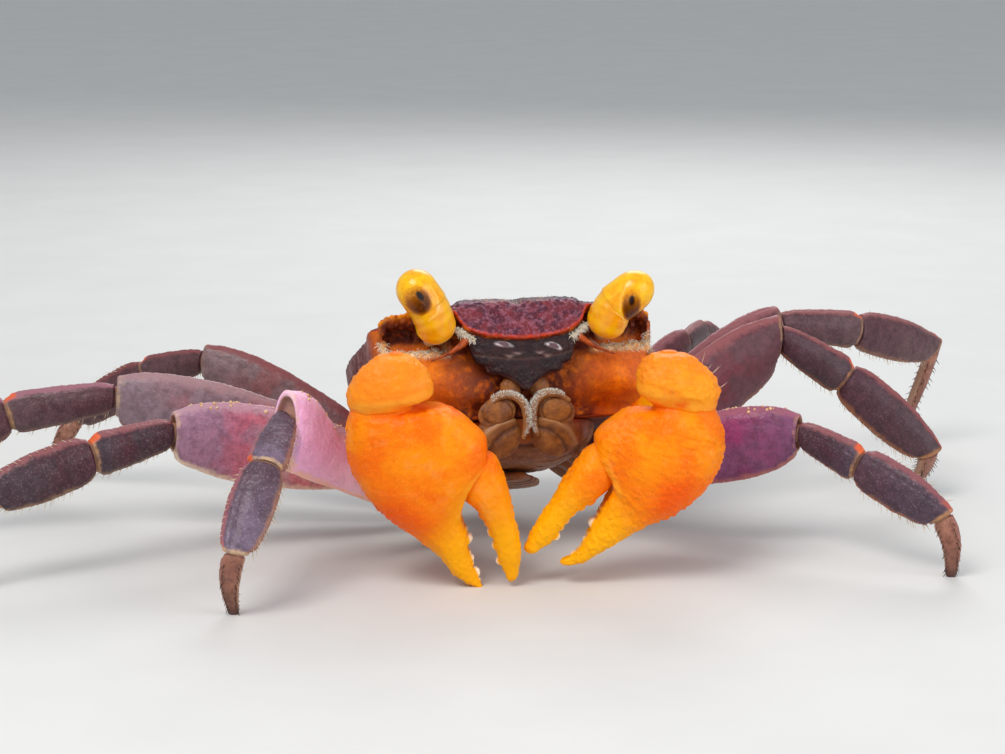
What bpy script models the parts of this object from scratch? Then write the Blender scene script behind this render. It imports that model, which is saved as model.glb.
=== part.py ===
# Life-size museum model of a small two-coloured land crab: dark violet body and walking legs,
# orange claws and yellow eyes. It stands alert, front raised, with both claws held down before it.
# The crab faces -Y, its own left is +X, the floor is z = 0. Sizes below are in millimetres and
# are turned into metres once, by MM. The stand point is the middle of the footprint.
# The shell plates and limb segments are lofts between unlike cross-sections, which is why their
# faces are made here. Eyes, feelers, mouth lobes and teeth start from spheres and cones.

import bmesh
import bpy
import math
import random
from mathutils import Matrix, Vector

MM = 0.001
GAP = 0.3

# Body: width across the widest part is 2 * HALF_WIDTH, its own frame has x to the crab's left,
# y to the rear and z up through the back.
HALF_WIDTH = 8.95
FRONT_Y = -7.55
REAR_Y = 7.35
BACK_Z = 4.0
SPLIT_Z = -3.2
BELLY_Z = -5.4
BODY_HEIGHT = 9.25
BODY_PITCH = 20.0
BODY_YAW = 12.0

# Walking legs 1 to 4, the same on both sides: where the hip sits on the body, and the greatest
# height of upper leg, wrist, hand and toe segments.
HIPS = [(7.0, -2.9, -6.0), (7.0, 0.2, -5.1), (6.8, 2.9, -4.9), (5.8, 5.4, -4.6)]
LEG_HEIGHTS = [(4.1, 2.1, 2.5, 1.2), (4.5, 2.3, 2.8, 1.3), (4.5, 2.3, 2.8, 1.3), (3.7, 2.0, 2.4, 1.2)]
LEG_THICK = [(1.8, 1.4, 1.3, 0.8), (1.9, 1.5, 1.4, 0.85), (1.9, 1.5, 1.4, 0.85), (1.6, 1.3, 1.2, 0.75)]

# Joints of each leg on the floor plan: knee, wrist, ankle and toe tip. The right side is seen at -X.
JOINTS = {
    "leg_right_1": [(-11.8, -12.0, 9.35), (-12.5, -16.0, 7.7), (-13.9, -19.2, 3.8), (-14.2, -17.6, 0.0)],
    "leg_right_2": [(-18.6, -7.5, 7.6), (-22.7, -10.5, 6.9), (-28.0, -13.5, 5.3), (-29.6, -14.2, 0.0)],
    "leg_right_3": [(-22.6, -2.0, 8.5), (-28.8, -3.0, 7.6), (-35.5, -4.2, 5.0), (-38.8, -4.6, 0.0)],
    "leg_right_4": [(-18.1, 4.0, 9.4), (-22.0, 6.0, 8.1), (-26.9, 8.6, 4.8), (-29.0, 10.0, 0.0)],
    "leg_left_1": [(17.3, -5.5, 7.1), (20.4, -8.3, 5.9), (24.7, -11.3, 3.6), (25.4, -10.6, 0.0)],
    "leg_left_2": [(17.2, 5.6, 10.6), (21.5, 6.2, 7.8), (26.8, 5.4, 3.2), (25.9, 7.6, 0.0)],
    "leg_left_3": [(17.9, 12.3, 10.1), (23.4, 14.8, 9.2), (29.3, 19.6, 7.0), (27.2, 21.4, 0.0)],
    "leg_left_4": [(12.0, 13.5, 8.6), (13.5, 18.2, 8.2), (15.5, 23.8, 5.8), (16.8, 25.5, 0.0)],
}
# The first right leg is turned at the knee, so that the back edge of its outer segments faces -X.
TURNED = {"leg_right_1": Vector((-1.0, 0.0, 0.15))}
# It is folded forwards as well: its hip sits lower, and its upper leg sags and is deepest by the knee.
FOLDED_LEG = "leg_right_1"
FOLDED_HIP = (7.0, -2.9, -6.95)
FOLDED_SAG = 0.6
FOLDED_SHAPE = [(0.0, 0.44), (0.1, 0.47), (0.3, 0.50), (0.46, 0.57), (0.6, 0.72), (0.75, 0.9), (0.88, 1.0),
                (0.96, 0.9), (1.0, 0.74)]

# Height of a segment along its length, as a share of its greatest height.
UPPER_SHAPE = [(0.0, 0.50), (0.1, 0.62), (0.3, 0.86), (0.5, 0.99), (0.7, 1.0), (0.85, 0.88), (0.96, 0.68),
               (1.0, 0.54)]
WRIST_SHAPE = [(0.0, 0.58), (0.08, 0.70), (0.35, 0.89), (0.7, 1.0), (0.93, 0.98), (1.0, 0.86)]
HAND_SHAPE = [(0.0, 0.76), (0.08, 0.87), (0.35, 1.0), (0.65, 0.96), (0.9, 0.74), (1.0, 0.58)]
TOE_SHAPE = [(0.0, 0.92), (0.1, 1.0), (0.4, 0.9), (0.75, 0.66)]
TOE_TIP = 0.27
TOE_BOW = 0.25
LEG_SIDES = 12

# Claw arms: hip on the body, elbow and wrist on the floor plan, and the lean of the claw's plane.
ARM_HIP = (5.2, -4.6, -5.2)
CLAWS = {
    "right": {"elbow": (-6.6, -10.7, 10.9), "wrist": (-6.4, -13.2, 9.73), "lean": 3.9, "turn": 0.0},
    "left": {"elbow": (10.3, -9.0, 10.5), "wrist": (10.1, -11.6, 9.75), "lean": -2.0, "turn": -3.0},
}
# Outline of each claw in its own plane, across and down from the wrist: outer edge, inner edge and
# half thickness of each cross-section.
PALM = {
    "right": [
        (-1.45, -0.30, 1.35, -0.42, 1.15), (-1.85, 0.25, 2.10, -0.55, 1.50), (-1.93, 1.10, 3.10, -0.70, 1.72),
        (-1.80, 2.40, 4.05, -0.42, 1.85), (-1.05, 4.10, 5.00, 0.40, 1.95), (0.10, 5.50, 5.80, 1.25, 1.90),
        (1.10, 6.30, 5.82, 2.20, 1.75), (1.75, 6.70, 5.22, 3.25, 1.55), (2.30, 7.20, 4.52, 4.55, 1.30),
        (2.80, 7.60, 4.38, 5.55, 1.10), (3.30, 8.18, 4.65, 6.60, 0.95), (3.70, 8.75, 4.72, 7.50, 0.80),
        (4.20, 9.28, 4.88, 8.20, 0.60), (4.68, 9.58, 5.10, 8.92, 0.42),
    ],
    "left": [
        (-1.45, 0.08, 1.35, 0.00, 1.15), (-1.98, 0.45, 2.15, -0.12, 1.50), (-2.25, 1.45, 3.15, -0.08, 1.72),
        (-2.15, 2.60, 4.05, 0.42, 1.85), (-1.55, 3.90, 4.75, 1.05, 1.95), (-0.60, 5.00, 4.96, 1.52, 1.90),
        (0.45, 5.75, 4.92, 2.08, 1.75), (1.50, 6.17, 4.42, 3.08, 1.55), (2.30, 6.54, 4.00, 4.08, 1.30),
        (3.10, 6.96, 4.34, 4.95, 1.10), (3.85, 7.44, 4.80, 5.90, 0.95), (4.60, 7.90, 5.20, 6.70, 0.80),
        (5.25, 8.33, 5.66, 7.60, 0.60), (6.00, 8.54, 6.25, 8.12, 0.42),
    ],
}
FINGER = {
    "right": [
        (6.24, 2.25, 4.80, 4.70, 1.05), (6.60, 3.25, 5.28, 5.02, 1.12), (6.92, 4.48, 5.52, 5.65, 1.02),
        (7.18, 5.65, 5.85, 6.38, 0.92), (7.45, 6.90, 6.12, 7.38, 0.78), (7.55, 7.96, 6.40, 8.32, 0.60),
        (7.45, 8.80, 6.70, 9.05, 0.42),
    ],
    "left": [
        (5.32, 2.02, 4.34, 4.24, 1.05), (5.92, 2.85, 4.95, 4.64, 1.12), (6.67, 3.95, 5.50, 5.22, 1.02),
        (7.22, 4.90, 6.25, 5.90, 0.92), (7.77, 5.75, 6.78, 6.65, 0.78), (8.25, 6.60, 7.35, 7.33, 0.60),
        (8.55, 7.28, 7.95, 7.75, 0.42),
    ],
}
PALM_TIP = {"right": (5.22, 9.73), "left": (6.75, 8.48)}
FINGER_TIP = {"right": (7.12, 9.45), "left": (8.62, 7.86)}
KNUCKLE = {
    "right": [
        (0.45, -3.60, 1.20, -3.60, 0.40), (-0.25, -3.36, 1.65, -3.36, 0.95),
        (-1.10, -2.65, 2.30, -2.70, 1.40), (-1.60, -1.95, 2.80, -1.85, 1.70),
        (-1.85, -1.25, 2.72, -1.32, 1.72), (-1.85, -0.85, 2.05, -0.98, 1.52),
        (-1.40, -0.66, 1.30, -0.80, 1.15),
    ],
    "left": [
        (0.35, -3.30, 1.30, -3.30, 0.40), (-0.35, -3.05, 1.80, -3.10, 0.95),
        (-1.05, -2.50, 2.30, -2.55, 1.35), (-1.70, -1.80, 2.52, -1.85, 1.70),
        (-1.95, -1.05, 2.50, -1.15, 1.75), (-1.88, -0.55, 2.05, -0.75, 1.52),
        (-1.40, -0.28, 1.25, -0.40, 1.15),
    ],
}
CLAW_SIDES = 14
TOOTH_SIZE = 0.21
# Radius of the flat on which the right palm's tip stands.
SOLE = 0.28
# Half width and half height of an upper arm, and its size along its length.
ARM = (1.0, 1.3)
ARM_SHAPE = [(0.0, 0.72), (0.2, 0.85), (0.5, 1.0), (0.8, 1.0), (0.95, 0.92), (1.0, 0.8)]

# Eyes of the left side in the body frame. The stalk leaves the inner corner of the socket forwards and
# bends up and out: middle, radius and facing of each section. The eye then caps it out to its tip.
STALK = [
    ((5.05, -5.12, 1.52), 0.36, (-0.05, -1.0, 0.05)), ((4.98, -6.15, 1.58), 0.50, (0.0, -1.0, 0.20)),
    ((4.92, -6.98, 1.78), 0.96, (0.25, -0.75, 0.60)), ((5.18, -7.45, 2.40), 1.10, (0.48, -0.32, 0.81)),
    ((5.50, -7.66, 2.90), 1.10, (0.51, -0.30, 0.80)),
]
# How much the stalk is higher in front of the socket on each side.
STALK_RISE = {"right": 0.35, "left": -0.05}
EYE_TIP = {"right": (6.75, -8.36, 4.92), "left": (7.38, -8.75, 4.08)}
EYE_RADIUS = 1.12

# Colours of the solids, as linear red, green and blue.
VIOLET = (0.12, 0.04, 0.07, 1.0)
PLUM = (0.30, 0.12, 0.25, 1.0)
DUSK = (0.11, 0.07, 0.10, 1.0)
ORANGE = (0.80, 0.24, 0.02, 1.0)
YELLOW = (0.85, 0.42, 0.02, 1.0)
BROWN = (0.28, 0.11, 0.03, 1.0)
UMBER = (0.07, 0.03, 0.03, 1.0)


for old in list(bpy.data.objects):
    bpy.data.objects.remove(old, do_unlink=True)

crab = bpy.data.collections.new("vampire_crab")
bpy.context.scene.collection.children.link(crab)

stand = bpy.data.objects.new("stand_point", None)
body_place = bpy.data.objects.new("body_place", None)
for guide in (stand, body_place):
    guide.hide_render = True
    crab.objects.link(guide)
body_place.parent = stand
body_place.location = Vector((0.0, 0.0, BODY_HEIGHT)) * MM
body_place.rotation_euler = (-math.radians(BODY_PITCH), 0.0, math.radians(BODY_YAW))
BODY = (Matrix.Translation((0.0, 0.0, BODY_HEIGHT))
        @ Matrix.Rotation(math.radians(BODY_YAW), 4, "Z")
        @ Matrix.Rotation(-math.radians(BODY_PITCH), 4, "X"))


def on_body(point):
    """A point of the body frame, in millimetres over the floor."""
    return BODY @ Vector(point)


def material(name, colour, roughness):
    found = bpy.data.materials.get(name)
    if found:
        return found
    made = bpy.data.materials.new(name)
    made.use_nodes = True
    shader = made.node_tree.nodes["Principled BSDF"]
    shader.inputs["Base Color"].default_value = colour
    shader.inputs["Roughness"].default_value = roughness
    shader.inputs["Metallic"].default_value = 0.0
    return made


def keep_largest(bm):
    """Drops every loose scrap but the surface with the most faces."""
    left = set(bm.faces)
    best = []
    while left:
        start = left.pop()
        shell = [start]
        queue = [start]
        while queue:
            for edge in queue.pop().edges:
                for face in edge.link_faces:
                    if face in left:
                        left.discard(face)
                        shell.append(face)
                        queue.append(face)
        if len(shell) > len(best):
            best = shell
    keep = set(best)
    bmesh.ops.delete(bm, geom=[f for f in bm.faces if f not in keep], context="FACES")


def add_node(name, bm, colour, roughness, parent=stand):
    """Turns a mesh in millimetres into one named object in metres."""
    bmesh.ops.recalc_face_normals(bm, faces=bm.faces)
    if bm.calc_volume(signed=True) < 0.0:
        bmesh.ops.reverse_faces(bm, faces=bm.faces)
    centre = sum((v.co for v in bm.verts), Vector()) / len(bm.verts)
    bmesh.ops.translate(bm, vec=-centre, verts=bm.verts)
    bmesh.ops.scale(bm, vec=(MM, MM, MM), verts=bm.verts)
    mesh = bpy.data.meshes.new(name)
    bm.to_mesh(mesh)
    bm.free()
    mesh.shade_smooth()
    mesh.set_sharp_from_angle(angle=math.radians(50.0))
    node = bpy.data.objects.new(name, mesh)
    node.parent = parent
    node.location = centre * MM
    mesh.materials.append(material(name + "_shell", colour, roughness))
    crab.objects.link(node)
    return node


def loft(rings, start_tip=None, end_tip=None):
    """A closed body through rings of equal count, each end capped flat or drawn to a point."""
    bm = bmesh.new()
    rows = [[bm.verts.new(p) for p in ring] for ring in rings]
    count = len(rows[0])
    for low, high in zip(rows, rows[1:]):
        for i in range(count):
            j = (i + 1) % count
            bm.faces.new((low[i], low[j], high[j], high[i]))
    for row, tip, last in ((rows[0], start_tip, False), (rows[-1], end_tip, True)):
        middle = bm.verts.new(tip if tip is not None else sum((v.co for v in row), Vector()) / count)
        for i in range(count):
            j = (i + 1) % count
            bm.faces.new((row[i], row[j], middle) if last else (row[j], row[i], middle))
    bmesh.ops.triangulate(bm, faces=bm.faces)
    return bm


def joined(pieces):
    """Boolean union of closed pieces, given as meshes in millimetres, into one closed mesh."""
    group = bpy.data.collections.new("pieces_to_join")
    bpy.context.scene.collection.children.link(group)
    made = []
    for number, bm in enumerate(pieces):
        bmesh.ops.recalc_face_normals(bm, faces=bm.faces)
        mesh = bpy.data.meshes.new("piece")
        bm.to_mesh(mesh)
        bm.free()
        piece = bpy.data.objects.new("piece_%d" % number, mesh)
        (group if number else bpy.context.scene.collection).objects.link(piece)
        made.append(piece)
    union = made[0].modifiers.new("join", "BOOLEAN")
    union.operation = "UNION"
    union.operand_type = "COLLECTION"
    union.collection = group
    union.solver = "EXACT"
    bpy.context.view_layer.update()
    graph = bpy.context.evaluated_depsgraph_get()
    result = bmesh.new()
    result.from_mesh(made[0].evaluated_get(graph).to_mesh())
    for piece in made:
        bpy.data.objects.remove(piece, do_unlink=True)
    bpy.data.collections.remove(group)
    bmesh.ops.remove_doubles(result, verts=result.verts, dist=0.002)
    keep_largest(result)
    bmesh.ops.triangulate(result, faces=result.faces)
    return result


def oval(centre, across, up, power, sides, sharpen=0.0):
    """One cross-section: a rounded ring spanned by two half axes, given as vectors."""
    ring = []
    for i in range(sides):
        a = 2.0 * math.pi * (i + 0.5) / sides
        c, s = math.cos(a), math.sin(a)
        c = math.copysign(abs(c) ** (2.0 / power), c)
        s = math.copysign(abs(s) ** (2.0 / power), s)
        c *= 1.0 - sharpen * abs(s)
        ring.append(centre + across * c + up * s)
    return ring


def slid_to_plane(ring, along, point, normal):
    """Moves a ring's points along a direction until they lie in a plane, which mitres a joint."""
    reach = along.dot(normal)
    return [p + along * ((point - p).dot(normal) / reach) for p in ring]


def held_clear(ring, along, point, normal):
    """Slides along a direction only the points that lie behind a plane, up to that plane."""
    reach = along.dot(normal)
    held = []
    for p in ring:
        short = (point - p).dot(normal)
        held.append(p + along * (short / reach) if short > 0.0 else p)
    return held


def ball(centre, radii, rotation=None, segments=14, rings=9):
    bm = bmesh.new()
    bmesh.ops.create_uvsphere(bm, u_segments=segments, v_segments=rings, radius=1.0)
    place = Matrix.Translation(centre)
    if rotation is not None:
        place = place @ rotation
    bmesh.ops.transform(bm, matrix=place @ Matrix.Diagonal((*radii, 1.0)), verts=bm.verts)
    return bm


def tube(points, radii, sides):
    """A closed round bar through a line of points, with its own radius at each."""
    rings = []
    for i, (point, radius) in enumerate(zip(points, radii)):
        way = (Vector(points[min(i + 1, len(points) - 1)]) - Vector(points[max(i - 1, 0)])).normalized()
        across = way.cross(Vector((0.0, 1.0, 0.0))).normalized()
        rings.append(oval(Vector(point), across * radius, across.cross(way) * radius, 2.0, sides))
    return loft(rings)


def turned_to(direction):
    return Vector(direction).to_track_quat("Z", "Y").to_matrix().to_4x4()


# Walking legs. Each segment is a flattened tube between two joints; its end faces lie in the plane
# that halves the bend, half the gap short of the joint, so neighbours meet face to face.

def segment_axes(direction, hint):
    across = direction.cross(hint).normalized()
    return across, across.cross(direction).normalized()


def limb(start, end, before, after, hint, shape, height, thick, bow=0.0):
    """Rings of one leg segment from joint to joint, cut at each end to face its neighbour."""
    direction = (end - start).normalized()
    across, up = segment_axes(direction, hint)
    length = (end - start).length
    rings = []
    for share, size in shape:
        centre = start + direction * (length * share) + up * (bow * math.sin(math.pi * share))
        half = 0.5 * height * size
        flat = 0.5 * thick * (0.35 + 0.65 * size)
        rings.append(oval(centre, across * flat, up * half, 2.3, LEG_SIDES, 0.12))
    mitre = (before + direction).normalized()
    rings[0] = slid_to_plane(rings[0], direction, start + mitre * (0.5 * GAP), mitre)
    rings[1] = held_clear(rings[1], direction, start + mitre * (0.5 * GAP + 0.1), mitre)
    rings[2] = held_clear(rings[2], direction, start + mitre * (0.5 * GAP + 0.2), mitre)
    if after is not None:
        mitre = -(direction + after).normalized()
        rings[-1] = slid_to_plane(rings[-1], direction, end + mitre * (0.5 * GAP), mitre)
        rings[-2] = held_clear(rings[-2], direction, end + mitre * (0.5 * GAP + 0.1), mitre)
        rings[-3] = held_clear(rings[-3], direction, end + mitre * (0.5 * GAP + 0.2), mitre)
    return rings


def hip_of(leg, number):
    return FOLDED_HIP if leg == FOLDED_LEG else HIPS[number]


def walking_leg(name, hip, joints, heights, thicks):
    points = [hip] + [Vector(p) for p in joints]
    ways = [(b - a).normalized() for a, b in zip(points, points[1:])]
    flat = Vector((ways[0].x, ways[0].y, 0.0)).normalized()
    rise = Vector((0.0, 0.0, 1.0))
    hints = [rise, rise, (rise + flat * 0.4).normalized(), (rise * 0.3 + flat).normalized()]
    if name in TURNED:
        hints = [rise, TURNED[name], TURNED[name], TURNED[name]]
    upper_shape, sag = (FOLDED_SHAPE, FOLDED_SAG) if name == FOLDED_LEG else (UPPER_SHAPE, 0.0)
    kinds = (("upper", upper_shape, PLUM, -sag), ("wrist", WRIST_SHAPE, DUSK, 0.0),
             ("hand", HAND_SHAPE, DUSK, 0.0))
    before = ways[0]
    for i, (kind, shape, colour, bow) in enumerate(kinds):
        rings = limb(points[i], points[i + 1], before, ways[i + 1], hints[i], shape, heights[i], thicks[i],
                     bow)
        add_node("%s_%s" % (name, kind), loft(rings), colour, 0.45)
        before = ways[i]
    rings = limb(points[3], points[4], before, None, hints[3], TOE_SHAPE, heights[3], thicks[3], TOE_BOW)
    foot = Vector((points[4].x, points[4].y, 0.0))
    middle = sum(rings[-1], Vector()) / len(rings[-1])
    pad = []
    for p in rings[-1]:
        out = p - middle
        out.z = 0.0
        pad.append(foot + out.normalized() * TOE_TIP)
    rings.append(pad)
    add_node(name + "_toe", loft(rings), BROWN, 0.5)


for number in range(4):
    for side_name, side in (("right", -1.0), ("left", 1.0)):
        leg = "leg_%s_%d" % (side_name, number + 1)
        x, y, z = hip_of(leg, number)
        walking_leg(leg, on_body((side * x, y, z)), JOINTS[leg], LEG_HEIGHTS[number], LEG_THICK[number])


# Claws. The upper arm runs from the hip to the elbow behind the knuckle segment; the knuckle, the palm
# with its fixed finger, and the moving finger are lofts across one leaning plane.

def claw_frame(side_name):
    side = -1.0 if side_name == "right" else 1.0
    lean = math.radians(CLAWS[side_name]["lean"])
    turn = math.radians(CLAWS[side_name]["turn"])
    across = Vector((-side * math.cos(turn), math.sin(turn), 0.0))
    down = Vector((0.0, math.sin(lean), -math.cos(lean)))
    facing = across.cross(down).normalized()
    if facing.y > 0.0:
        facing = -facing
    return Vector(CLAWS[side_name]["wrist"]), across, down, facing


def claw_rings(side_name, rows, power=2.5):
    wrist, across, down, facing = claw_frame(side_name)
    rings = []
    for ox, oy, ix, iy, half in rows:
        outer = wrist + across * ox + down * oy
        inner = wrist + across * ix + down * iy
        rings.append(oval((outer + inner) / 2.0, facing * half, (inner - outer) / 2.0, power, CLAW_SIDES))
    return rings


def teeth(side_name, rows, count, size, seed):
    """Blunt cones along the cutting edge of a finger, smaller to the tip, roots sunk in the finger."""
    wrist, across, down = claw_frame(side_name)[:3]
    draw = random.Random(seed)
    made = []
    for k in range(count):
        t = (k + 0.9) / count * (len(rows) - 1.3)
        i = int(t)
        f = t - i
        row = [a * (1.0 - f) + b * f for a, b in zip(rows[i], rows[i + 1])]
        outer = wrist + across * row[0] + down * row[1]
        inner = wrist + across * row[2] + down * row[3]
        out = (inner - outer).normalized()
        height = size * draw.uniform(0.75, 1.25)
        bm = bmesh.new()
        bmesh.ops.create_cone(bm, cap_ends=True, segments=7, radius1=height * 1.5, radius2=height * 0.5,
                              depth=height * 2.4)
        place = Matrix.Translation(inner + out * (height * 0.05)) @ turned_to(out)
        bmesh.ops.transform(bm, matrix=place, verts=bm.verts)
        made.append(bm)
    return made


for side_name, side in (("right", -1.0), ("left", 1.0)):
    wrist, across, down, facing = claw_frame(side_name)
    tip = wrist + across * PALM_TIP[side_name][0] + down * PALM_TIP[side_name][1]
    palm_rings = claw_rings(side_name, PALM[side_name])
    if side_name == "right":
        last = palm_rings[-1]
        sideways = last[CLAW_SIDES // 4] - last[3 * CLAW_SIDES // 4]
        level_facing = Vector((facing.x, facing.y, 0.0)).normalized()
        level_side = Vector((sideways.x, sideways.y, 0.0)).normalized()
        sole_middle = Vector((tip.x, tip.y, 0.0))
        palm_rings.append(oval(sole_middle, level_facing * SOLE, level_side * SOLE, 2.0, CLAW_SIDES))
        palm = loft(palm_rings)
    else:
        palm = loft(palm_rings, end_tip=tip)
    palm = joined([palm] + teeth(side_name, PALM[side_name][8:], 5, TOOTH_SIZE, 11))
    add_node("claw_%s_palm" % side_name, palm, ORANGE, 0.35)

    tip = wrist + across * FINGER_TIP[side_name][0] + down * FINGER_TIP[side_name][1]
    finger = loft(claw_rings(side_name, FINGER[side_name]), end_tip=tip)
    finger = joined([finger] + teeth(side_name, FINGER[side_name][1:], 5, TOOTH_SIZE * 0.8, 12))
    add_node("claw_%s_finger" % side_name, finger, ORANGE, 0.35)

    elbow = Vector(CLAWS[side_name]["elbow"])
    knuckle = loft(claw_rings(side_name, KNUCKLE[side_name], 2.4))
    hip = on_body((side * ARM_HIP[0], ARM_HIP[1], ARM_HIP[2]))
    way = (elbow - hip).normalized()
    cut = bmesh.ops.bisect_plane(knuckle, geom=knuckle.verts[:] + knuckle.edges[:] + knuckle.faces[:],
                                 dist=0.001, plane_co=elbow, plane_no=-way, clear_outer=True)
    rim = [e for e in cut["geom_cut"] if isinstance(e, bmesh.types.BMEdge)]
    if rim:
        bmesh.ops.holes_fill(knuckle, edges=rim)
    bmesh.ops.triangulate(knuckle, faces=knuckle.faces)
    add_node("claw_%s_knuckle" % side_name, knuckle, ORANGE, 0.4)

    arm_end = elbow - way * GAP
    rings = []
    side_way, up = segment_axes(way, Vector((side * 0.5, 0.0, 1.0)))
    start = hip + way * (0.5 * GAP)
    for share, size in ARM_SHAPE:
        centre = start + (arm_end - start) * share
        rings.append(oval(centre, side_way * (ARM[0] * size), up * (ARM[1] * size), 2.4, LEG_SIDES, 0.1))
    add_node("claw_%s_arm" % side_name, loft(rings), ORANGE, 0.4)


# Back shell. The rim is one closed line seen from above; from it rings climb inwards over the back
# and others drop down the walls, tucked in under the front lobe and round the two eye sockets.

RIM = [
    (0.0, FRONT_Y, 1.18), (1.4, -7.53, 1.30), (2.7, -7.43, 1.62), (3.42, -7.27, 2.10), (3.84, -7.05, 2.86),
    (4.5, -6.25, 3.05), (5.3, -5.95, 3.05), (6.4, -5.8, 3.0), (7.25, -5.6, 2.85), (7.85, -5.45, 2.62),
    (7.9, -4.95, 2.35), (8.35, -4.15, 2.3), (8.4, -3.3, 1.95), (8.75, -1.5, 1.5), (HALF_WIDTH, 0.4, 1.2),
    (8.85, 2.4, 0.9), (8.0, 4.4, 0.65), (6.5, 6.0, 0.5), (4.9, 6.95, 0.45), (2.6, 7.3, 0.4),
    (0.0, REAR_Y, 0.4),
]
# Shares of the way in from rim to middle, and how much of the rim's own height is left there.
CLIMB = [(0.985, 0.86), (0.955, 0.62), (0.915, 0.36), (0.865, 0.14), (0.79, 0.07), (0.68, 0.03), (0.54, 0.0),
         (0.38, 0.0), (0.2, 0.0)]
CLIMB_SIDE = [0.9, 0.74, 0.6, 0.47, 0.33, 0.2, 0.09, 0.03, 0.0]
# Walls below the rim. The first levels are set apart for front lobe (in, down), socket (place, height)
# and flank (share of the drop); the later ones follow the front wall at the heights given.
LOBE_WALL = [(0.10, -0.22), (0.45, -0.34), (0.95, -0.42), (1.20, -0.46)]
SOCKET_WALL = [(-5.80, 2.70), (-5.65, 2.38), (-4.85, 2.20), (-4.75, 1.05), (-5.35, 0.80)]
FRONT_LEVELS = [0.45, -0.1, -0.9, -1.8, -2.7, SPLIT_Z]
FLANK_SHARES = [0.06, 0.12, 0.19, 0.26, 0.34, 0.42, 0.52, 0.63, 0.76, 0.89, 1.0]
# How far the flank is drawn in at each level, for the same shares.
FLANK_INSETS = [0.0, 0.02, 0.05, 0.10, 0.14, 0.20, 0.36, 0.64, 1.16, 2.00, 2.75]


def smooth(low, high, value):
    t = max(0.0, min(1.0, (value - low) / (high - low)))
    return t * t * (3.0 - 2.0 * t)


def back_height(x, y):
    """Height of the back over the body's middle plane, with its low lobes and grooves."""
    dome = BACK_Z - 0.03 * max(0.0, abs(x) - 2.2) ** 2 - 0.02 * (y + 2.2) ** 2
    dome -= 0.9 * smooth(2.0, 8.0, y)
    groove = 0.28 * math.exp(-((abs(x) - 3.2 + 0.15 * y) / 0.55) ** 2)
    groove *= smooth(-5.5, -3.0, y) * smooth(5.5, 2.5, y)
    middle = 0.22 * math.exp(-(x / 0.45) ** 2) * smooth(-3.5, -5.5, y)
    cross = 0.25 * math.exp(-((y - 0.6 - 0.12 * abs(x)) / 0.5) ** 2) * smooth(4.2, 2.0, abs(x))
    return dome - groove - middle - cross


def rim_points():
    """The rim on both sides, starting at the middle of the front and going round by the left."""
    half = [Vector(p) for p in RIM]
    dense = []
    for a, b in zip(half, half[1:]):
        dense.append(a)
        if (b - a).length > 1.15:
            dense.append((a + b) / 2.0)
    dense.append(half[-1])
    mirrored = [Vector((-p.x, p.y, p.z)) for p in reversed(dense[1:-1])]
    return dense + mirrored


def face_y(x, z):
    """How far forward the front wall stands: full cheeks beside the mouth, drawn in below."""
    cheek = 0.38 * math.exp(-((abs(x) - 5.3) / 2.0) ** 2 - ((z + 0.9) / 1.6) ** 2)
    drawn = (0.5 + 0.8 * smooth(3.6, 5.2, abs(x))) * smooth(-1.5, -3.0, z)
    return -6.12 - cheek + drawn + 0.25 * smooth(6.2, 8.2, abs(x))


def wall_point(p, level):
    """A rim point dropped to one level of the wall below it."""
    lobe = smooth(4.55, 4.0, abs(p.x)) * smooth(-6.2, -6.9, p.y)
    socket = smooth(-5.1, -5.5, p.y) * smooth(4.0, 4.55, abs(p.x)) * smooth(8.0, 7.4, abs(p.x))
    flank = max(0.0, 1.0 - lobe - socket)
    if level < len(LOBE_WALL):
        inset, drop = LOBE_WALL[level]
        on_lobe = Vector((p.x, p.y + inset, p.z + drop))
    else:
        start = p.z + LOBE_WALL[-1][1]
        on_lobe = Vector((p.x, face_y(p.x, start), 0.5 * (start + FRONT_LEVELS[0])))
    if level < len(SOCKET_WALL):
        on_socket = Vector((p.x, *SOCKET_WALL[level]))
    else:
        low = FRONT_LEVELS[level - len(SOCKET_WALL)]
        on_lobe = on_socket = Vector((p.x, face_y(p.x, low), low))
    inward = Vector((-p.x, -p.y * 0.35, 0.0))
    if p.y > 5.0:
        inward = inward.lerp(Vector((-p.x * 0.3, -p.y, 0.0)), smooth(5.0, 7.0, p.y))
    if p.y < -5.0:
        inward = Vector((-p.x * 0.6, 1.0, 0.0))
    shrink = 1.0 - 0.55 * smooth(4.0, 7.2, p.y)
    on_flank = p + inward.normalized() * (FLANK_INSETS[level] * shrink)
    on_flank.z = p.z + (SPLIT_Z - p.z) * FLANK_SHARES[level]
    total = lobe + socket + flank
    return (on_lobe * lobe + on_socket * socket + on_flank * flank) / total


rim = rim_points()
rows = []
for level in reversed(range(len(FLANK_SHARES))):
    rows.append([wall_point(p, level) for p in rim])
rows.append([p.copy() for p in rim])
middle = Vector((0.0, -0.4, 0.0))
for step, (share, left) in enumerate(CLIMB):
    ring = []
    for p in rim:
        front = smooth(-6.4, -7.0, p.y)
        keep = left * front + CLIMB_SIDE[step] * (1.0 - front)
        x = middle.x + (p.x - middle.x) * share
        y = middle.y + (p.y - middle.y) * share
        ring.append(Vector((x, y, p.z * keep + back_height(x, y) * (1.0 - keep))))
    rows.append(ring)
shell = loft(rows, end_tip=Vector((middle.x, middle.y, back_height(middle.x, middle.y))))
add_node("back_shell", shell, VIOLET, 0.4, body_place)


# Breast plate with the ten hip sockets, and the tail flap folded up under it.

def breast_ring(z, half_width, front, rear):
    ring = []
    for i in range(28):
        a = 2.0 * math.pi * i / 28
        s, c = math.sin(a), math.cos(a)
        x = half_width * math.copysign(abs(s) ** 0.8, s)
        y = (front + rear) / 2.0 - (rear - front) / 2.0 * math.copysign(abs(c) ** 0.8, c)
        ring.append(Vector((x * (1.0 - 0.12 * smooth(2.0, 6.0, y)), y, z)))
    return ring


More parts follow.
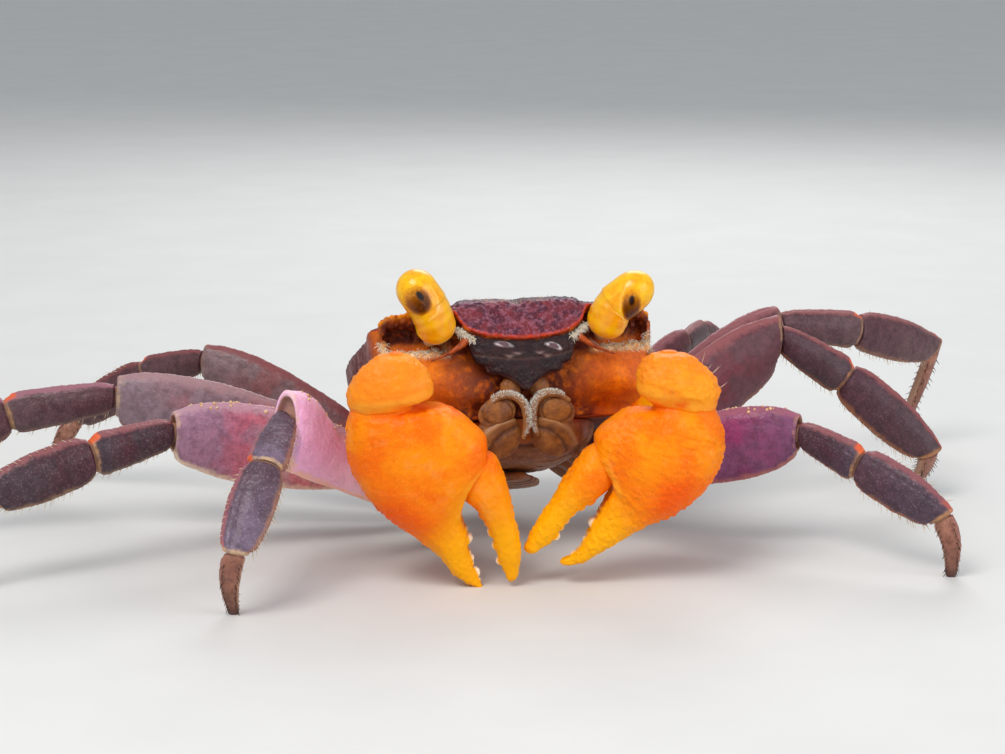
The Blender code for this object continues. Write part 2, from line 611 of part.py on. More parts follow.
TOP = SPLIT_Z - GAP
breast = loft([breast_ring(TOP, 5.2, -5.55, 5.9), breast_ring(TOP - 0.7, 5.0, -5.5, 5.8),
               breast_ring(-4.9, 4.3, -5.1, 5.3), breast_ring(BELLY_Z, 3.2, -4.4, 4.4)])
pieces = [breast]
back_to_body = BODY.inverted()
for number in range(4):
    for side_name, side in (("right", -1.0), ("left", 1.0)):
        leg = "leg_%s_%d" % (side_name, number + 1)
        x, y, z = hip_of(leg, number)
        hip = on_body((side * x, y, z))
        way = (Vector(JOINTS[leg][0]) - hip).normalized()
        across_leg, up = segment_axes(way, Vector((0.0, 0.0, 1.0)))
        root = on_body((side * 3.2, y * 0.86, -4.35))
        end = hip - way * (0.5 * GAP)
        half = 0.5 * LEG_HEIGHTS[number][0]
        flat = 0.5 * LEG_THICK[number][0]
        sections = [(root, 0.42, 0.7), (end - way * 1.1, 0.44, 0.72), (end - way * 0.25, 0.55, 0.78),
                    (end, 0.5, 0.68)]
        rings = [oval(c, across_leg * (flat * t), up * (half * h), 2.3, LEG_SIDES, 0.12)
                 for c, h, t in sections]
        stub = loft(rings)
        bmesh.ops.transform(stub, matrix=back_to_body, verts=stub.verts)
        pieces.append(stub)
for side_name, side in (("right", -1.0), ("left", 1.0)):
    hip = on_body((side * ARM_HIP[0], ARM_HIP[1], ARM_HIP[2]))
    way = (Vector(CLAWS[side_name]["elbow"]) - hip).normalized()
    side_way, up = segment_axes(way, Vector((side * 0.5, 0.0, 1.0)))
    root = on_body((side * 3.2, -3.2, -4.5))
    end = hip - way * (0.5 * GAP)
    sections = [(root, 0.6), (end - way * 0.9, 0.7), (end - way * 0.2, 0.78), (end, 0.7)]
    rings = [oval(c, side_way * (ARM[0] * s), up * (ARM[1] * s), 2.4, LEG_SIDES, 0.1) for c, s in sections]
    stub = loft(rings)
    bmesh.ops.transform(stub, matrix=back_to_body, verts=stub.verts)
    pieces.append(stub)
add_node("breast_plate", joined(pieces), BROWN, 0.5, body_place)

FLAP = [(6.9, 1.5, 0.55), (5.6, 2.3, 0.6), (4.0, 2.7, 0.6), (2.2, 2.4, 0.6), (0.6, 1.7, 0.55),
        (-0.8, 1.0, 0.5)]
rings = []
for y, half_width, thick in FLAP:
    z = BELLY_Z - GAP - thick / 2.0 - 0.15
    if y > 4.4:
        z += (y - 4.4) * 0.5
    half_thick = Vector((0.0, 0.0, thick / 2.0))
    rings.append(oval(Vector((0.0, y, z)), Vector((half_width, 0.0, 0.0)), half_thick, 2.8, 16))
add_node("tail_flap", loft(rings), BROWN, 0.5, body_place)


# Face: the plate under the front lobe, whose lower edge steps down to a point. Below it each mouth
# limb has a leaf, a disc over it and a bent feeler. Height, half width and thickness of its sections.

FACE = [(0.3, 3.0, 0.75), (0.0, 3.0, 0.95), (-0.28, 2.8, 1.0), (-0.42, 2.3, 1.0), (-0.75, 2.16, 1.0),
        (-0.86, 1.5, 0.95), (-1.15, 0.95, 0.9), (-1.8, 0.2, 0.7)]
FACE_BACK = -6.5
rings = []
for z, half_width, thick in FACE:
    centre = Vector((0.0, FACE_BACK - thick / 2.0, z))
    ring = []
    for p in oval(centre, Vector((half_width, 0.0, 0.0)), Vector((0.0, thick / 2.0, 0.0)), 3.0, 20):
        ring.append(Vector((p.x, p.y + 0.02 * p.x * p.x, p.z + 0.05 * p.x * p.x * smooth(-0.9, 0.3, z))))
    rings.append(ring)
parts = [loft(rings, start_tip=Vector((0.0, -6.88, 0.16)))]
for x in (-1.4, 1.7):
    parts.append(ball(Vector((x, -7.2, 0.32)), (0.5, 0.35, 0.26), Matrix.Rotation(0.1 * x, 4, "Y"), 10, 7))
add_node("face_plate", joined(parts), UMBER, 0.5, body_place)

DISC = ((1.72, -6.72, -3.02), (1.12, 0.42, 0.86), 0.2)
LEAF = ((1.65, -6.28, -4.35), (1.4, 0.42, 1.25), 0.28)
SMALL_LOBE = ((0.82, -6.62, -1.75), (0.5, 0.32, 0.62), 0.2)
PALP = [(2.35, -6.95, -2.6), (1.95, -7.1, -2.25), (1.3, -7.2, -2.1), (0.8, -7.2, -2.3), (0.48, -7.15, -2.8),
        (0.42, -7.0, -3.5), (0.55, -6.75, -4.4)]
PALP_RADII = [0.2, 0.22, 0.23, 0.23, 0.22, 0.2, 0.18]
for side_name, side in (("right", -1.0), ("left", 1.0)):
    parts = []
    for (x, y, z), radii, slope in (LEAF, DISC, SMALL_LOBE):
        turn = Matrix.Rotation(slope, 4, "X") @ Matrix.Rotation(side * 0.35, 4, "Y")
        parts.append(ball(Vector((side * x, y, z)), radii, turn))
    parts.append(tube([(side * x, y, z) for x, y, z in PALP], PALP_RADII, 8))
    add_node("mouth_lobe_%s" % side_name, joined(parts), BROWN, 0.5, body_place)

FEELER = [(3.42, -7.1, 1.05), (3.8, -7.2, 0.74), (4.5, -7.1, 0.38), (5.3, -7.0, 0.08)]
FEELER_RADII = [0.26, 0.25, 0.19, 0.1]
for side_name, side in (("right", -1.0), ("left", 1.0)):
    mirror = Matrix.Diagonal((side, 1.0, 1.0))
    tip = mirror @ Vector(EYE_TIP[side_name])
    start = mirror @ (Vector(STALK[-1][0]) + Vector((0.0, 0.0, STALK_RISE[side_name])))
    rings = []
    for number, (centre, radius, facing) in enumerate(STALK):
        way = mirror @ Vector(facing).normalized()
        if number == len(STALK) - 1:
            way = (tip - start).normalized()
        rise = STALK_RISE[side_name] * max(0.0, (number - 1) / (len(STALK) - 2))
        middle = mirror @ (Vector(centre) + Vector((0.0, 0.0, rise)))
        across_eye, up = segment_axes(way, Vector((0.0, 0.35, 1.0)))
        rings.append(oval(middle, across_eye * radius, up * radius, 2.0, 18))
    add_node("eye_stalk_%s" % side_name, loft(rings), YELLOW, 0.3, body_place)
    way = (tip - start).normalized()
    start += way * GAP
    rest = (tip - start).length
    across_eye, up = segment_axes(way, Vector((0.0, 0.35, 1.0)))
    rings = []
    for k in range(9):
        if k < 2:
            s, r = 0.18 * k, (0.94, 1.0)[k]
        else:
            a = 0.5 * math.pi * (k - 1) / 8.0
            s = 0.36 + 0.64 * math.sin(a)
            r = math.cos(a)
        radius = EYE_RADIUS * r
        rings.append(oval(start + way * (rest * s), across_eye * radius, up * radius, 2.0, 18))
    add_node("eye_%s" % side_name, loft(rings, end_tip=tip), YELLOW, 0.12, body_place)
    feeler = tube([(side * x, y, z) for x, y, z in FEELER], FEELER_RADII, 10)
    add_node("feeler_%s" % side_name, feeler, BROWN, 0.5, body_place)


# The model is moved over its stand point, the middle of the box round all its parts.
bpy.context.view_layer.update()
corners = []
for node in crab.objects:
    if node.type == "MESH":
        corners += [node.matrix_world @ v.co for v in node.data.vertices]
low = Vector([min(c[i] for c in corners) for i in range(3)])
high = Vector([max(c[i] for c in corners) for i in range(3)])
stand.location = Vector((-(low.x + high.x) / 2.0, -(low.y + high.y) / 2.0, 0.0))
bpy.context.view_layer.update()

total = 0
for node in sorted(crab.objects, key=lambda o: o.name):
    if node.type == "MESH":
        count = sum(len(p.vertices) - 2 for p in node.data.polygons)
        total += count
        print(node.name, count, "triangles")
print("nodes", sum(1 for o in crab.objects if o.type == "MESH"), "triangles", total)
print("size in mm", [round(v * 1000.0, 2) for v in (high - low)], "floor", round(low.z * 1000.0, 3),
      "moved by", [round(v * 1000.0, 3) for v in stand.location])
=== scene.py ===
# %% [markdown]
# # A violet and orange land crab, dressed for the museum case
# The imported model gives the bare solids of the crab. This lesson replaces each of them with a
# finished piece: shell with grains and seams, joints with their soft skin, glassy eyes, bristles.
# All sizes are in millimetres, and they are turned into metres only when a mesh is made.

# %% The frame
import math
import bpy
import numpy as np
from mathutils import Matrix, Vector


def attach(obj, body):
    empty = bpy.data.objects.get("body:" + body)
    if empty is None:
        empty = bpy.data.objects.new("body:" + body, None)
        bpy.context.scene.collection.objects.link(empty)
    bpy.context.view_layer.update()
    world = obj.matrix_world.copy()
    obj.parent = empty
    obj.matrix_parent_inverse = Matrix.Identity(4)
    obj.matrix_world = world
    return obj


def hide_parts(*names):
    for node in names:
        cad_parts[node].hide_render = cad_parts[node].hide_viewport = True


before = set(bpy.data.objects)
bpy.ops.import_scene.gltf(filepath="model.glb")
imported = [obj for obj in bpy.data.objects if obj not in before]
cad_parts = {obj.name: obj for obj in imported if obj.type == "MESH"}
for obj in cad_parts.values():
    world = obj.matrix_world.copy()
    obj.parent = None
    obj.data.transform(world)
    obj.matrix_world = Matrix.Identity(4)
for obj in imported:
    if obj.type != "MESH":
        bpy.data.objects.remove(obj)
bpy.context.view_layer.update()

MM = 0.001

# %% [markdown]
# ## The legs' plan
# A crab's leg shows four stretches: a broad upper part, a short wrist, a flattened hand and a toe.
# Each bends only at its joints, so the pose is a short list of joints on the floor plan. The same
# list made the solids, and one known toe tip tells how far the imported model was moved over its
# stand point.

# %% Joints of the legs
SIDES = (("right", -1.0), ("left", 1.0))
JOINTS = {
    "leg_right_1": [(-11.8, -12.0, 9.35), (-12.5, -16.0, 7.7), (-13.9, -19.2, 3.8), (-14.2, -17.6, 0.0)],
    "leg_right_2": [(-18.6, -7.5, 7.6), (-22.7, -10.5, 6.9), (-28.0, -13.5, 5.3), (-29.6, -14.2, 0.0)],
    "leg_right_3": [(-22.6, -2.0, 8.5), (-28.8, -3.0, 7.6), (-35.5, -4.2, 5.0), (-38.8, -4.6, 0.0)],
    "leg_right_4": [(-18.1, 4.0, 9.4), (-22.0, 6.0, 8.1), (-26.9, 8.6, 4.8), (-29.0, 10.0, 0.0)],
    "leg_left_1": [(17.3, -5.5, 7.1), (20.4, -8.3, 5.9), (24.7, -11.3, 3.6), (25.4, -10.6, 0.0)],
    "leg_left_2": [(17.2, 5.6, 10.6), (21.5, 6.2, 7.8), (26.8, 5.4, 3.2), (25.9, 7.6, 0.0)],
    "leg_left_3": [(17.9, 12.3, 10.1), (23.4, 14.8, 9.2), (29.3, 19.6, 7.0), (27.2, 21.4, 0.0)],
    "leg_left_4": [(12.0, 13.5, 8.6), (13.5, 18.2, 8.2), (15.5, 23.8, 5.8), (16.8, 25.5, 0.0)],
}
HIPS = [(7.0, -2.9, -6.0), (7.0, 0.2, -5.1), (6.8, 2.9, -4.9), (5.8, 5.4, -4.6)]
FOLDED_LEG = "leg_right_1"
FOLDED_HIP = (7.0, -2.9, -6.95)
LEG_HEIGHTS = [(4.1, 2.1, 2.5, 1.2), (4.5, 2.3, 2.8, 1.3), (4.5, 2.3, 2.8, 1.3), (3.7, 2.0, 2.4, 1.2)]
LEG_THICK = [(1.8, 1.4, 1.3, 0.8), (1.9, 1.5, 1.4, 0.85), (1.9, 1.5, 1.4, 0.85), (1.6, 1.3, 1.2, 0.75)]


def hip_of(leg, number):
    """The first right leg is folded forwards, and its hip sits lower than the others."""
    return FOLDED_HIP if leg == FOLDED_LEG else HIPS[number]


toe = np.array([v.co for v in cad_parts["leg_right_3_toe"].data.vertices]) / MM
sole = toe[toe[:, 2] < toe[:, 2].min() + 0.01]
MOVED = np.array([*((sole.min(0) + sole.max(0)) / 2.0)[:2], 0.0]) - np.array(JOINTS["leg_right_3"][3])
print("stand point moved by", MOVED.round(3))

# %% [markdown]
# ## The body's place
# The crab carries its body nose up and turned a little to one side. A matrix for that lets every
# piece of shell, face and eye be drawn straight, in the body's own directions.

# %% Body directions
BODY_HEIGHT = 9.25
BODY_PITCH = 20.0
BODY_YAW = 12.0
BODY = (Matrix.Translation((0.0, 0.0, BODY_HEIGHT))
        @ Matrix.Rotation(math.radians(BODY_YAW), 4, "Z")
        @ Matrix.Rotation(-math.radians(BODY_PITCH), 4, "X"))
TURN = np.array(BODY.to_3x3())
SEAT = np.array(BODY.translation)


def on_body(points):
    """Points of the body's own frame, set where the crab carries them."""
    return np.asarray(points, float) @ TURN.T + SEAT


print("body height in mm:", BODY_HEIGHT, "pitch and yaw in degrees:", BODY_PITCH, BODY_YAW)


# %% [markdown]
# ## The camera, the floor and the light
# The picture looks at the crab nearly level, from a hand's width in front. A long lens far off
# would flatten the claws, so the distance is the one that makes claws and rear legs differ in size
# as they do in the picture. Soft lamps above and beside it keep the shell's own colours true.

# %% Camera
CAMERA_AT = np.array([0.165, -143.927, 39.788])
CAMERA_TILT = 78.0
LENS = 88.2627
SENSOR = 36.0

camera = bpy.data.objects.new("camera", bpy.data.cameras.new("camera"))
bpy.context.scene.collection.objects.link(camera)
camera.location = (CAMERA_AT + MOVED) * MM
camera.rotation_euler = (math.radians(CAMERA_TILT), 0.0, 0.0)
camera.data.lens = LENS
camera.data.sensor_width = SENSOR
camera.data.clip_start = 0.005
bpy.context.scene.camera = camera

# %% Light and floor
LIT_POINT = (0.0, -3.0, 8.0)
ROOM_LIGHT = 0.55
FLOOR_HALF = 3.0       # in metres


def paint(red, green, blue):
    """A screen colour, 0 to 255, as the linear colour that a shader wants."""
    share = [c / 255.0 for c in (red, green, blue)]
    return tuple(c / 12.92 if c < 0.04045 else ((c + 0.055) / 1.055) ** 2.4 for c in share) + (1.0,)


def soft_lamp(name, place, size, watts, colour):
    """A square lamp that faces the crab from a place given in millimetres."""
    lamp = bpy.data.objects.new(name, bpy.data.lights.new(name, "AREA"))
    lamp.data.size = size * MM
    lamp.data.energy = watts
    lamp.data.color = colour
    lamp.location = Vector(place) * MM
    aim = Vector(LIT_POINT) * MM - lamp.location
    lamp.rotation_euler = aim.to_track_quat("-Z", "Y").to_euler()
    bpy.context.scene.collection.objects.link(lamp)


soft_lamp("key", (-60.0, -120.0, 170.0), 90.0, 0.25, (1.0, 0.97, 0.93))
soft_lamp("fill", (150.0, -110.0, 70.0), 120.0, 0.13, (0.93, 0.96, 1.0))
soft_lamp("rim", (30.0, 150.0, 130.0), 110.0, 0.14, (1.0, 1.0, 1.0))

room = bpy.data.worlds.new("pale room")
bpy.context.scene.world = room
room.use_nodes = True
room.node_tree.nodes["Background"].inputs["Color"].default_value = (0.82, 0.86, 0.9, 1.0)
room.node_tree.nodes["Background"].inputs["Strength"].default_value = ROOM_LIGHT
bpy.context.scene.view_settings.view_transform = "Standard"

floor_mesh = bpy.data.meshes.new("floor")
corners = [(x * FLOOR_HALF, y * FLOOR_HALF, 0.0) for x, y in ((-1, -1), (1, -1), (1, 1), (-1, 1))]
floor_mesh.from_pydata(corners, [], [(0, 1, 2, 3)])
floor = bpy.data.objects.new("floor", floor_mesh)
bpy.context.scene.collection.objects.link(floor)
print("camera", [round(v, 4) for v in camera.location])

# %% [markdown]
# ## Materials from nodes
# A small set of helpers keeps each finish short: one adds a node and wires it, one mixes two
# colours, one turns a stretch of values into 0 to 1. Grain and net patterns use the place in the
# object, in metres, so that a pattern's size on the shell can be stated.

# %% Node helpers
def put(tree, kind, wires=None, **settings):
    """Adds a node, sets its values and joins its sockets, by name or number."""
    node = tree.nodes.new(kind)
    for key, value in settings.items():
        setattr(node, key, value)
    for key, value in (wires or {}).items():
        if isinstance(value, bpy.types.NodeSocket):
            tree.links.new(value, node.inputs[key])
        else:
            node.inputs[key].default_value = value
    return node


def blended(tree, share, under, over, way="MIX"):
    """One colour over another; each is a socket or a screen colour of three numbers, 0 to 255."""
    under, over = (paint(*c) if isinstance(c, tuple) else c for c in (under, over))
    node = put(tree, "ShaderNodeMix", {0: share, 6: under, 7: over}, data_type="RGBA", blend_type=way)
    return node.outputs[2]


def ramp(tree, value, low, high, to_low=0.0, to_high=1.0):
    """Turns a stretch of values, low to high, smoothly into another stretch."""
    node = put(tree, "ShaderNodeMapRange", {"Value": value, "From Min": low, "From Max": high,
                                            "To Min": to_low, "To Max": to_high})
    node.interpolation_type = "SMOOTHSTEP"
    return node.outputs["Result"]


def times(tree, a, b):
    return put(tree, "ShaderNodeMath", {0: a, 1: b}, operation="MULTIPLY", use_clamp=True).outputs[0]


def plus(tree, a, b):
    return put(tree, "ShaderNodeMath", {0: a, 1: b}, operation="ADD").outputs[0]


# %% Patterns
def noise(tree, where, size, detail=3.0, rough=0.55):
    """Cloudy noise whose clouds are about that many millimetres wide."""
    return put(tree, "ShaderNodeTexNoise", {"Vector": where, "Scale": 1.0 / (size * MM), "Detail": detail,
                                            "Roughness": rough}).outputs["Fac"]


def cells(tree, where, size, feature="F1"):
    return put(tree, "ShaderNodeTexVoronoi", {"Vector": where, "Scale": 1.0 / (size * MM)},
               feature=feature).outputs["Distance"]


def mottled(tree, where, size, low, high, under, over, share=1.0, detail=3.0, rough=0.55):
    """A second colour in clouds over the first; low and high say where they begin and are full."""
    cloud = ramp(tree, noise(tree, where, size, detail, rough), low, high, 0.0, share)
    return blended(tree, cloud, under, over)


def speckled(tree, where, size, low, high, under, over, share=1.0):
    """A second colour in dots over the first, one dot in each cell of that size."""
    return blended(tree, ramp(tree, cells(tree, where, size), low, high, 0.0, share), under, over)


def wavy(tree, where, value, size, amount, detail=3.0, rough=0.55):
    """A value with that much noise added, so that a border drawn with it wavers."""
    return put(tree, "ShaderNodeMath", {0: noise(tree, where, size, detail, rough), 1: amount, 2: value},
               operation="MULTIPLY_ADD").outputs[0]


# %% A new finish
COAT_ROUGHNESS = 0.12
SHINE = 0.35
GLOW_REACH = (1.0, 0.35, 0.12)       # red light spreads furthest in flesh, blue light least


def new_finish(name, roughness, coat=0.0, glow=0.0, glow_size=0.5):
    """A material, its tree, its shader and the two things that most finishes start from."""
    made = bpy.data.materials.new(name)
    made.use_nodes = True
    tree = made.node_tree
    shader = tree.nodes["Principled BSDF"]
    shader.inputs["Roughness"].default_value = roughness
    shader.inputs["Coat Weight"].default_value = coat
    shader.inputs["Coat Roughness"].default_value = COAT_ROUGHNESS
    shader.inputs["IOR"].default_value = 1.45
    shader.inputs["Specular IOR Level"].default_value = SHINE
    shader.inputs["Subsurface Weight"].default_value = glow
    shader.inputs["Subsurface Radius"].default_value = GLOW_REACH
    shader.inputs["Subsurface Scale"].default_value = glow_size * MM
    where = put(tree, "ShaderNodeTexCoord").outputs["Object"]
    mask = put(tree, "ShaderNodeAttribute", attribute_name="mask")
    split = put(tree, "ShaderNodeSeparateColor", {"Color": mask.outputs["Color"]})
    marks = {"along": split.outputs[0], "height": split.outputs[1], "skin": split.outputs[2],
             "grain": mask.outputs["Alpha"]}
    return made, tree, shader, where, marks


def roughen(tree, shader, height, depth, strength=1.0):
    """Bump from a height of 0 to 1 that stands for that many millimetres."""
    bump = put(tree, "ShaderNodeBump", {"Height": height, "Distance": depth * MM, "Strength": strength})
    tree.links.new(bump.outputs["Normal"], shader.inputs["Normal"])


floor_finish, tree, shader, where, marks = new_finish("pale_floor", 0.75)
tone = blended(tree, noise(tree, where, 9.0), (214, 214, 212), (224, 224, 222))
tree.links.new(tone, shader.inputs["Base Color"])
floor_mesh.materials.append(floor_finish)

# %% [markdown]
# ## Repeatable noise for the meshes
# Grains that show at the outline have to be real mesh. Two small functions work them out for all
# points of a mesh at once: one gives soft clouds, the other a skin of round grains, each set at
# random in its own cell of a grid in space. The grid stands askew to the crab, so that no rows of
# grains line up with a claw. The random numbers come from whole-number mixing, so each run gives the
# same crab.

# %% Clouds and grains
ASKEW = np.array(Matrix.Rotation(0.7, 3, "X") @ Matrix.Rotation(0.5, 3, "Y") @ Matrix.Rotation(0.4, 3, "Z"))


def scramble(cell, seed):
    """A number from 0 to 1 for each whole-number cell, the same on every run."""
    x, y, z = (cell[..., i].astype(np.uint32) for i in range(3))
    mixed = (x * np.uint32(374761393) + y * np.uint32(668265263) + z * np.uint32(2246822519)
             + np.uint32(seed * 7919))
    mixed = (mixed ^ (mixed >> np.uint32(13))) * np.uint32(1274126177)
    mixed = (mixed ^ (mixed >> np.uint32(15))) * np.uint32(2654435761)
    return (mixed ^ (mixed >> np.uint32(16))) / 4294967295.0


def clouds(points, size, seed=0, layers=2):
    """Soft noise from -1 to 1 with lumps about size millimetres wide."""
    total = np.zeros(points.shape[:-1])
    weight = 1.0
    for layer in range(layers):
        place = points @ ASKEW.T / size * 2.0 ** layer + 11.7 * layer
        base = np.floor(place)
        share = place - base
        share = share * share * (3.0 - 2.0 * share)
        for corner in np.ndindex(2, 2, 2):
            worth = np.prod(np.where(np.array(corner), share, 1.0 - share), axis=-1)
            total += weight * worth * (2.0 * scramble((base + corner).astype(np.int64), seed + layer) - 1.0)
        weight *= 0.5
    return total / (2.0 - 2.0 * weight)


def grains(points, size, seed=0, smallest=0.35, largest=0.62):
    """Height from 0 to 1 of a skin of round grains, one in each cell of that size."""
    place = points @ ASKEW.T / size
    base = np.floor(place).astype(np.int64)
    best = np.zeros(points.shape[:-1])
    for step in np.ndindex(3, 3, 3):
        cell = base + np.array(step) - 1
        middle = cell + np.stack([0.15 + 0.7 * scramble(cell, seed + k) for k in range(3)], axis=-1)
        reach = smallest + (largest - smallest) * scramble(cell, seed + 5)
        best = np.maximum(best, 1.0 - ((place - middle) ** 2).sum(-1) / reach ** 2)
    return np.sqrt(best)


def step_up(low, high, value):
    """0 below low, 1 above high, and a soft step between them."""
    share = np.clip((value - low) / (high - low), 0.0, 1.0)
    return share * share * (3.0 - 2.0 * share)


# %% [markdown]
# ## Shells from rings
# Every plate and limb of a crab is close to a bent, flattened tube. A few rings set its shape, and
# smooth curves through them fill in the rest. A subdivision surface would shrink away from the
# rings, so the curves are worked out here and pass through every ring. The rows then go on into a
# rounded rim, a cup or a plug of soft skin at each end.

# %% Rings and the curves through them
def unit(v):
    v = np.asarray(v, float)
    return v / np.maximum(np.linalg.norm(v, axis=-1, keepdims=True), 1e-9)


def oval(centre, across, up, power, cols, pinch=0.0):
    """A rounded ring spanned by two half axes; a higher power makes it boxier."""
    turn = 2.0 * np.pi * (np.arange(cols) + 0.5) / cols
    c, s = np.cos(turn), np.sin(turn)
    c = np.sign(c) * np.abs(c) ** (2.0 / power)
    s = np.sign(s) * np.abs(s) ** (2.0 / power)
    c = c * (1.0 - pinch * np.abs(s))
    return np.asarray(centre, float) + np.outer(c, across) + np.outer(s, up)


def through(rings, spacing):
    """Rows along smooth curves through the rings, about that far apart, and each row's share."""
    rings = np.asarray(rings, float)
    gaps = np.linalg.norm(np.diff(rings, axis=0), axis=2)
    gaps = 0.5 * (gaps.mean(axis=1) + gaps.max(axis=1))
    t = np.concatenate([[0.0], np.cumsum(gaps)])
    pace = np.diff(rings, axis=0) / gaps[:, None, None]
    before, after = gaps[:-1, None, None], gaps[1:, None, None]
    inner = (pace[:-1] * after + pace[1:] * before) / (before + after)
    slope = np.concatenate([pace[:1], inner, pace[-1:]])
    s = np.linspace(0.0, t[-1], max(int(t[-1] / spacing), 2 * len(rings)) + 1)
    k = np.clip(np.searchsorted(t, s, side="right") - 1, 0, len(gaps) - 1)
    h = gaps[k][:, None, None]
    f = ((s - t[k]) / gaps[k])[:, None, None]
    rows = ((2 * f ** 3 - 3 * f ** 2 + 1) * rings[k] + (f ** 3 - 2 * f ** 2 + f) * h * slope[k]
            + (3 * f ** 2 - 2 * f ** 3) * rings[k + 1] + (f ** 3 - f ** 2) * h * slope[k + 1])
    return rows, s / t[-1]


# %% Normals and the ends of a tube
def outward(grid):
    """Unit normals of a closed tube of rows, pointing out."""
    around = np.roll(grid, -1, axis=1) - np.roll(grid, 1, axis=1)
    along = np.gradient(grid, axis=0)
    normal = unit(np.cross(around, along))
    away = grid - grid.mean(axis=1, keepdims=True)
    return normal * (1.0 if (normal * away).sum() > 0.0 else -1.0)


def swelled(grid, amount):
    """The surface pushed out along its normals, by an amount for each point."""
    return grid + outward(grid) * amount[..., None]


def drawn_in(row, way, steps):
    """Rows that go on from a row: each is the row scaled about its middle and moved along a way."""
    middle = row.mean(axis=0)
    return np.array([middle + (row - middle) * scale + np.asarray(way) * shift for scale, shift in steps])


def domed(depth, count=8, start=1.0):
    """Steps for drawn_in that close an end with a dome of that depth."""
    turn = np.linspace(0.0, np.pi / 2.0, count + 1)[1:]
    return [(start * max(math.cos(a), 0.02), depth * math.sin(a)) for a in turn]


# %% Mesh pieces
def make_mesh(name, points, faces, finish, mask=None):
    """A mesh object from points in millimetres, with the crab's mask on its points."""
    mesh = bpy.data.meshes.new(name)
    mesh.from_pydata(((np.asarray(points) + MOVED) * MM).tolist(), [], faces)
    mesh.materials.append(finish)
    mesh.shade_smooth()
    if mask is not None:
        layer = mesh.attributes.new("mask", "FLOAT_COLOR", "POINT")
        layer.data.foreach_set("color", np.asarray(mask, np.float32).ravel())
    piece = bpy.data.objects.new(name, mesh)
    bpy.context.scene.collection.objects.link(piece)
    return piece


def blank_mask(grid):
    """Four zeros for each point of a grid, to be filled where a finish needs them."""
    return np.zeros(grid.shape[:2] + (4,))


def tube_faces(rows, cols, first=0):
    """Four-sided faces of a closed tube of rows."""
    i, j = np.meshgrid(np.arange(rows - 1), np.arange(cols), indexing="ij")
    a = i * cols + j
    b = i * cols + (j + 1) % cols
    return (np.stack([a, b, b + cols, a + cols], axis=-1).reshape(-1, 4) + first).tolist()


def shell(name, grid, finish, mask=None, nodes=()):
    """A closed piece of shell from rows of points; each end is closed by a small fan."""
    rows, cols = grid.shape[:2]
    points = np.concatenate([grid.reshape(-1, 3), grid[:1].mean(axis=1), grid[-1:].mean(axis=1)])
    faces = tube_faces(rows, cols)
    last = (rows - 1) * cols
    faces += [(rows * cols, (j + 1) % cols, j) for j in range(cols)]
    faces += [(rows * cols + 1, last + j, last + (j + 1) % cols) for j in range(cols)]
    quads = np.array(faces[:(rows - 1) * cols])
    a, b, c, d = (points[quads[:, k]] for k in range(4))
    if (np.cross(b - a, c - a) * (a + b + c)).sum() + (np.cross(c - a, d - a) * (a + c + d)).sum() < 0.0:
        faces = [tuple(reversed(f)) for f in faces]
    if mask is not None:
        mask = np.concatenate([mask.reshape(-1, 4), mask[:1].mean(axis=1), mask[-1:].mean(axis=1)])
    piece = make_mesh(name, points, faces, finish, mask)
    return hand_over(piece, nodes)


def hand_over(piece, nodes=()):
    """Says what a piece rides on and hides the solids that it stands for."""
    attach(piece, "root")
    if nodes:
        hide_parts(*nodes)
    return piece


# %% [markdown]
# ## Small things in great number
# Bristles and beads are tiny and many. One mesh holds all those of a limb: each bristle is a
# three-sided bent spike, each bead half a small ball. Their unwrap puts each one as a small patch
# at the place on the limb where it stands, so that baked colours stay with their limb.

# %% Bristles and beads
def many(name, points, faces_each, finish, places):
    """One mesh of many equal little shapes; points has one row of points for each."""
    count, size = points.shape[:2]
    faces = [tuple(k + n * size for k in face) for n in range(count) for face in faces_each]
    piece = make_mesh(name, points.reshape(-1, 3), faces, finish)
    layer = piece.data.uv_layers.new(name="OFBake")
    corner = np.arange(size) / size * 2.0 * np.pi
    patch = 0.0015 * np.stack([np.cos(corner), np.sin(corner)], axis=-1)
    spots = (np.clip(np.asarray(places), 0.01, 0.99)[:, None] + patch[None]).reshape(-1, 2)
    used = np.empty(len(piece.data.loops), np.int32)
    piece.data.loops.foreach_get("vertex_index", used)
    layer.data.foreach_set("uv", spots[used].astype(np.float32).ravel())
    return hand_over(piece)


def bristles(name, roots, ways, lengths, thick, finish, places, droop=(0.0, 0.0, -0.3)):
    """Tapered bent spikes; droop is added to each tip as a share of its length."""
    roots, ways = np.asarray(roots, float), unit(ways)
    lengths = np.asarray(lengths, float)[:, None]
    side = unit(np.cross(ways, [0.31, 0.83, 0.47]))
    other = np.cross(ways, side)
    levels = []
    for share, width in ((-0.12, 1.0), (0.35, 0.8), (0.72, 0.5)):
        centre = roots + ways * lengths * share + np.asarray(droop) * lengths * max(share, 0.0) ** 2
        for k in range(3):
            turn = 2.0 * math.pi * k / 3.0
            levels.append(centre + (side * math.cos(turn) + other * math.sin(turn)) * thick * width)
    levels.append(roots + ways * lengths + np.asarray(droop) * lengths)
    faces = [(0, 2, 1)]
    for low in (0, 3):
        faces += [(low + k, low + (k + 1) % 3, low + 3 + (k + 1) % 3, low + 3 + k) for k in range(3)]
    faces += [(6 + k, 6 + (k + 1) % 3, 9) for k in range(3)]
    return many(name, np.stack(levels, axis=1), faces, finish, places)


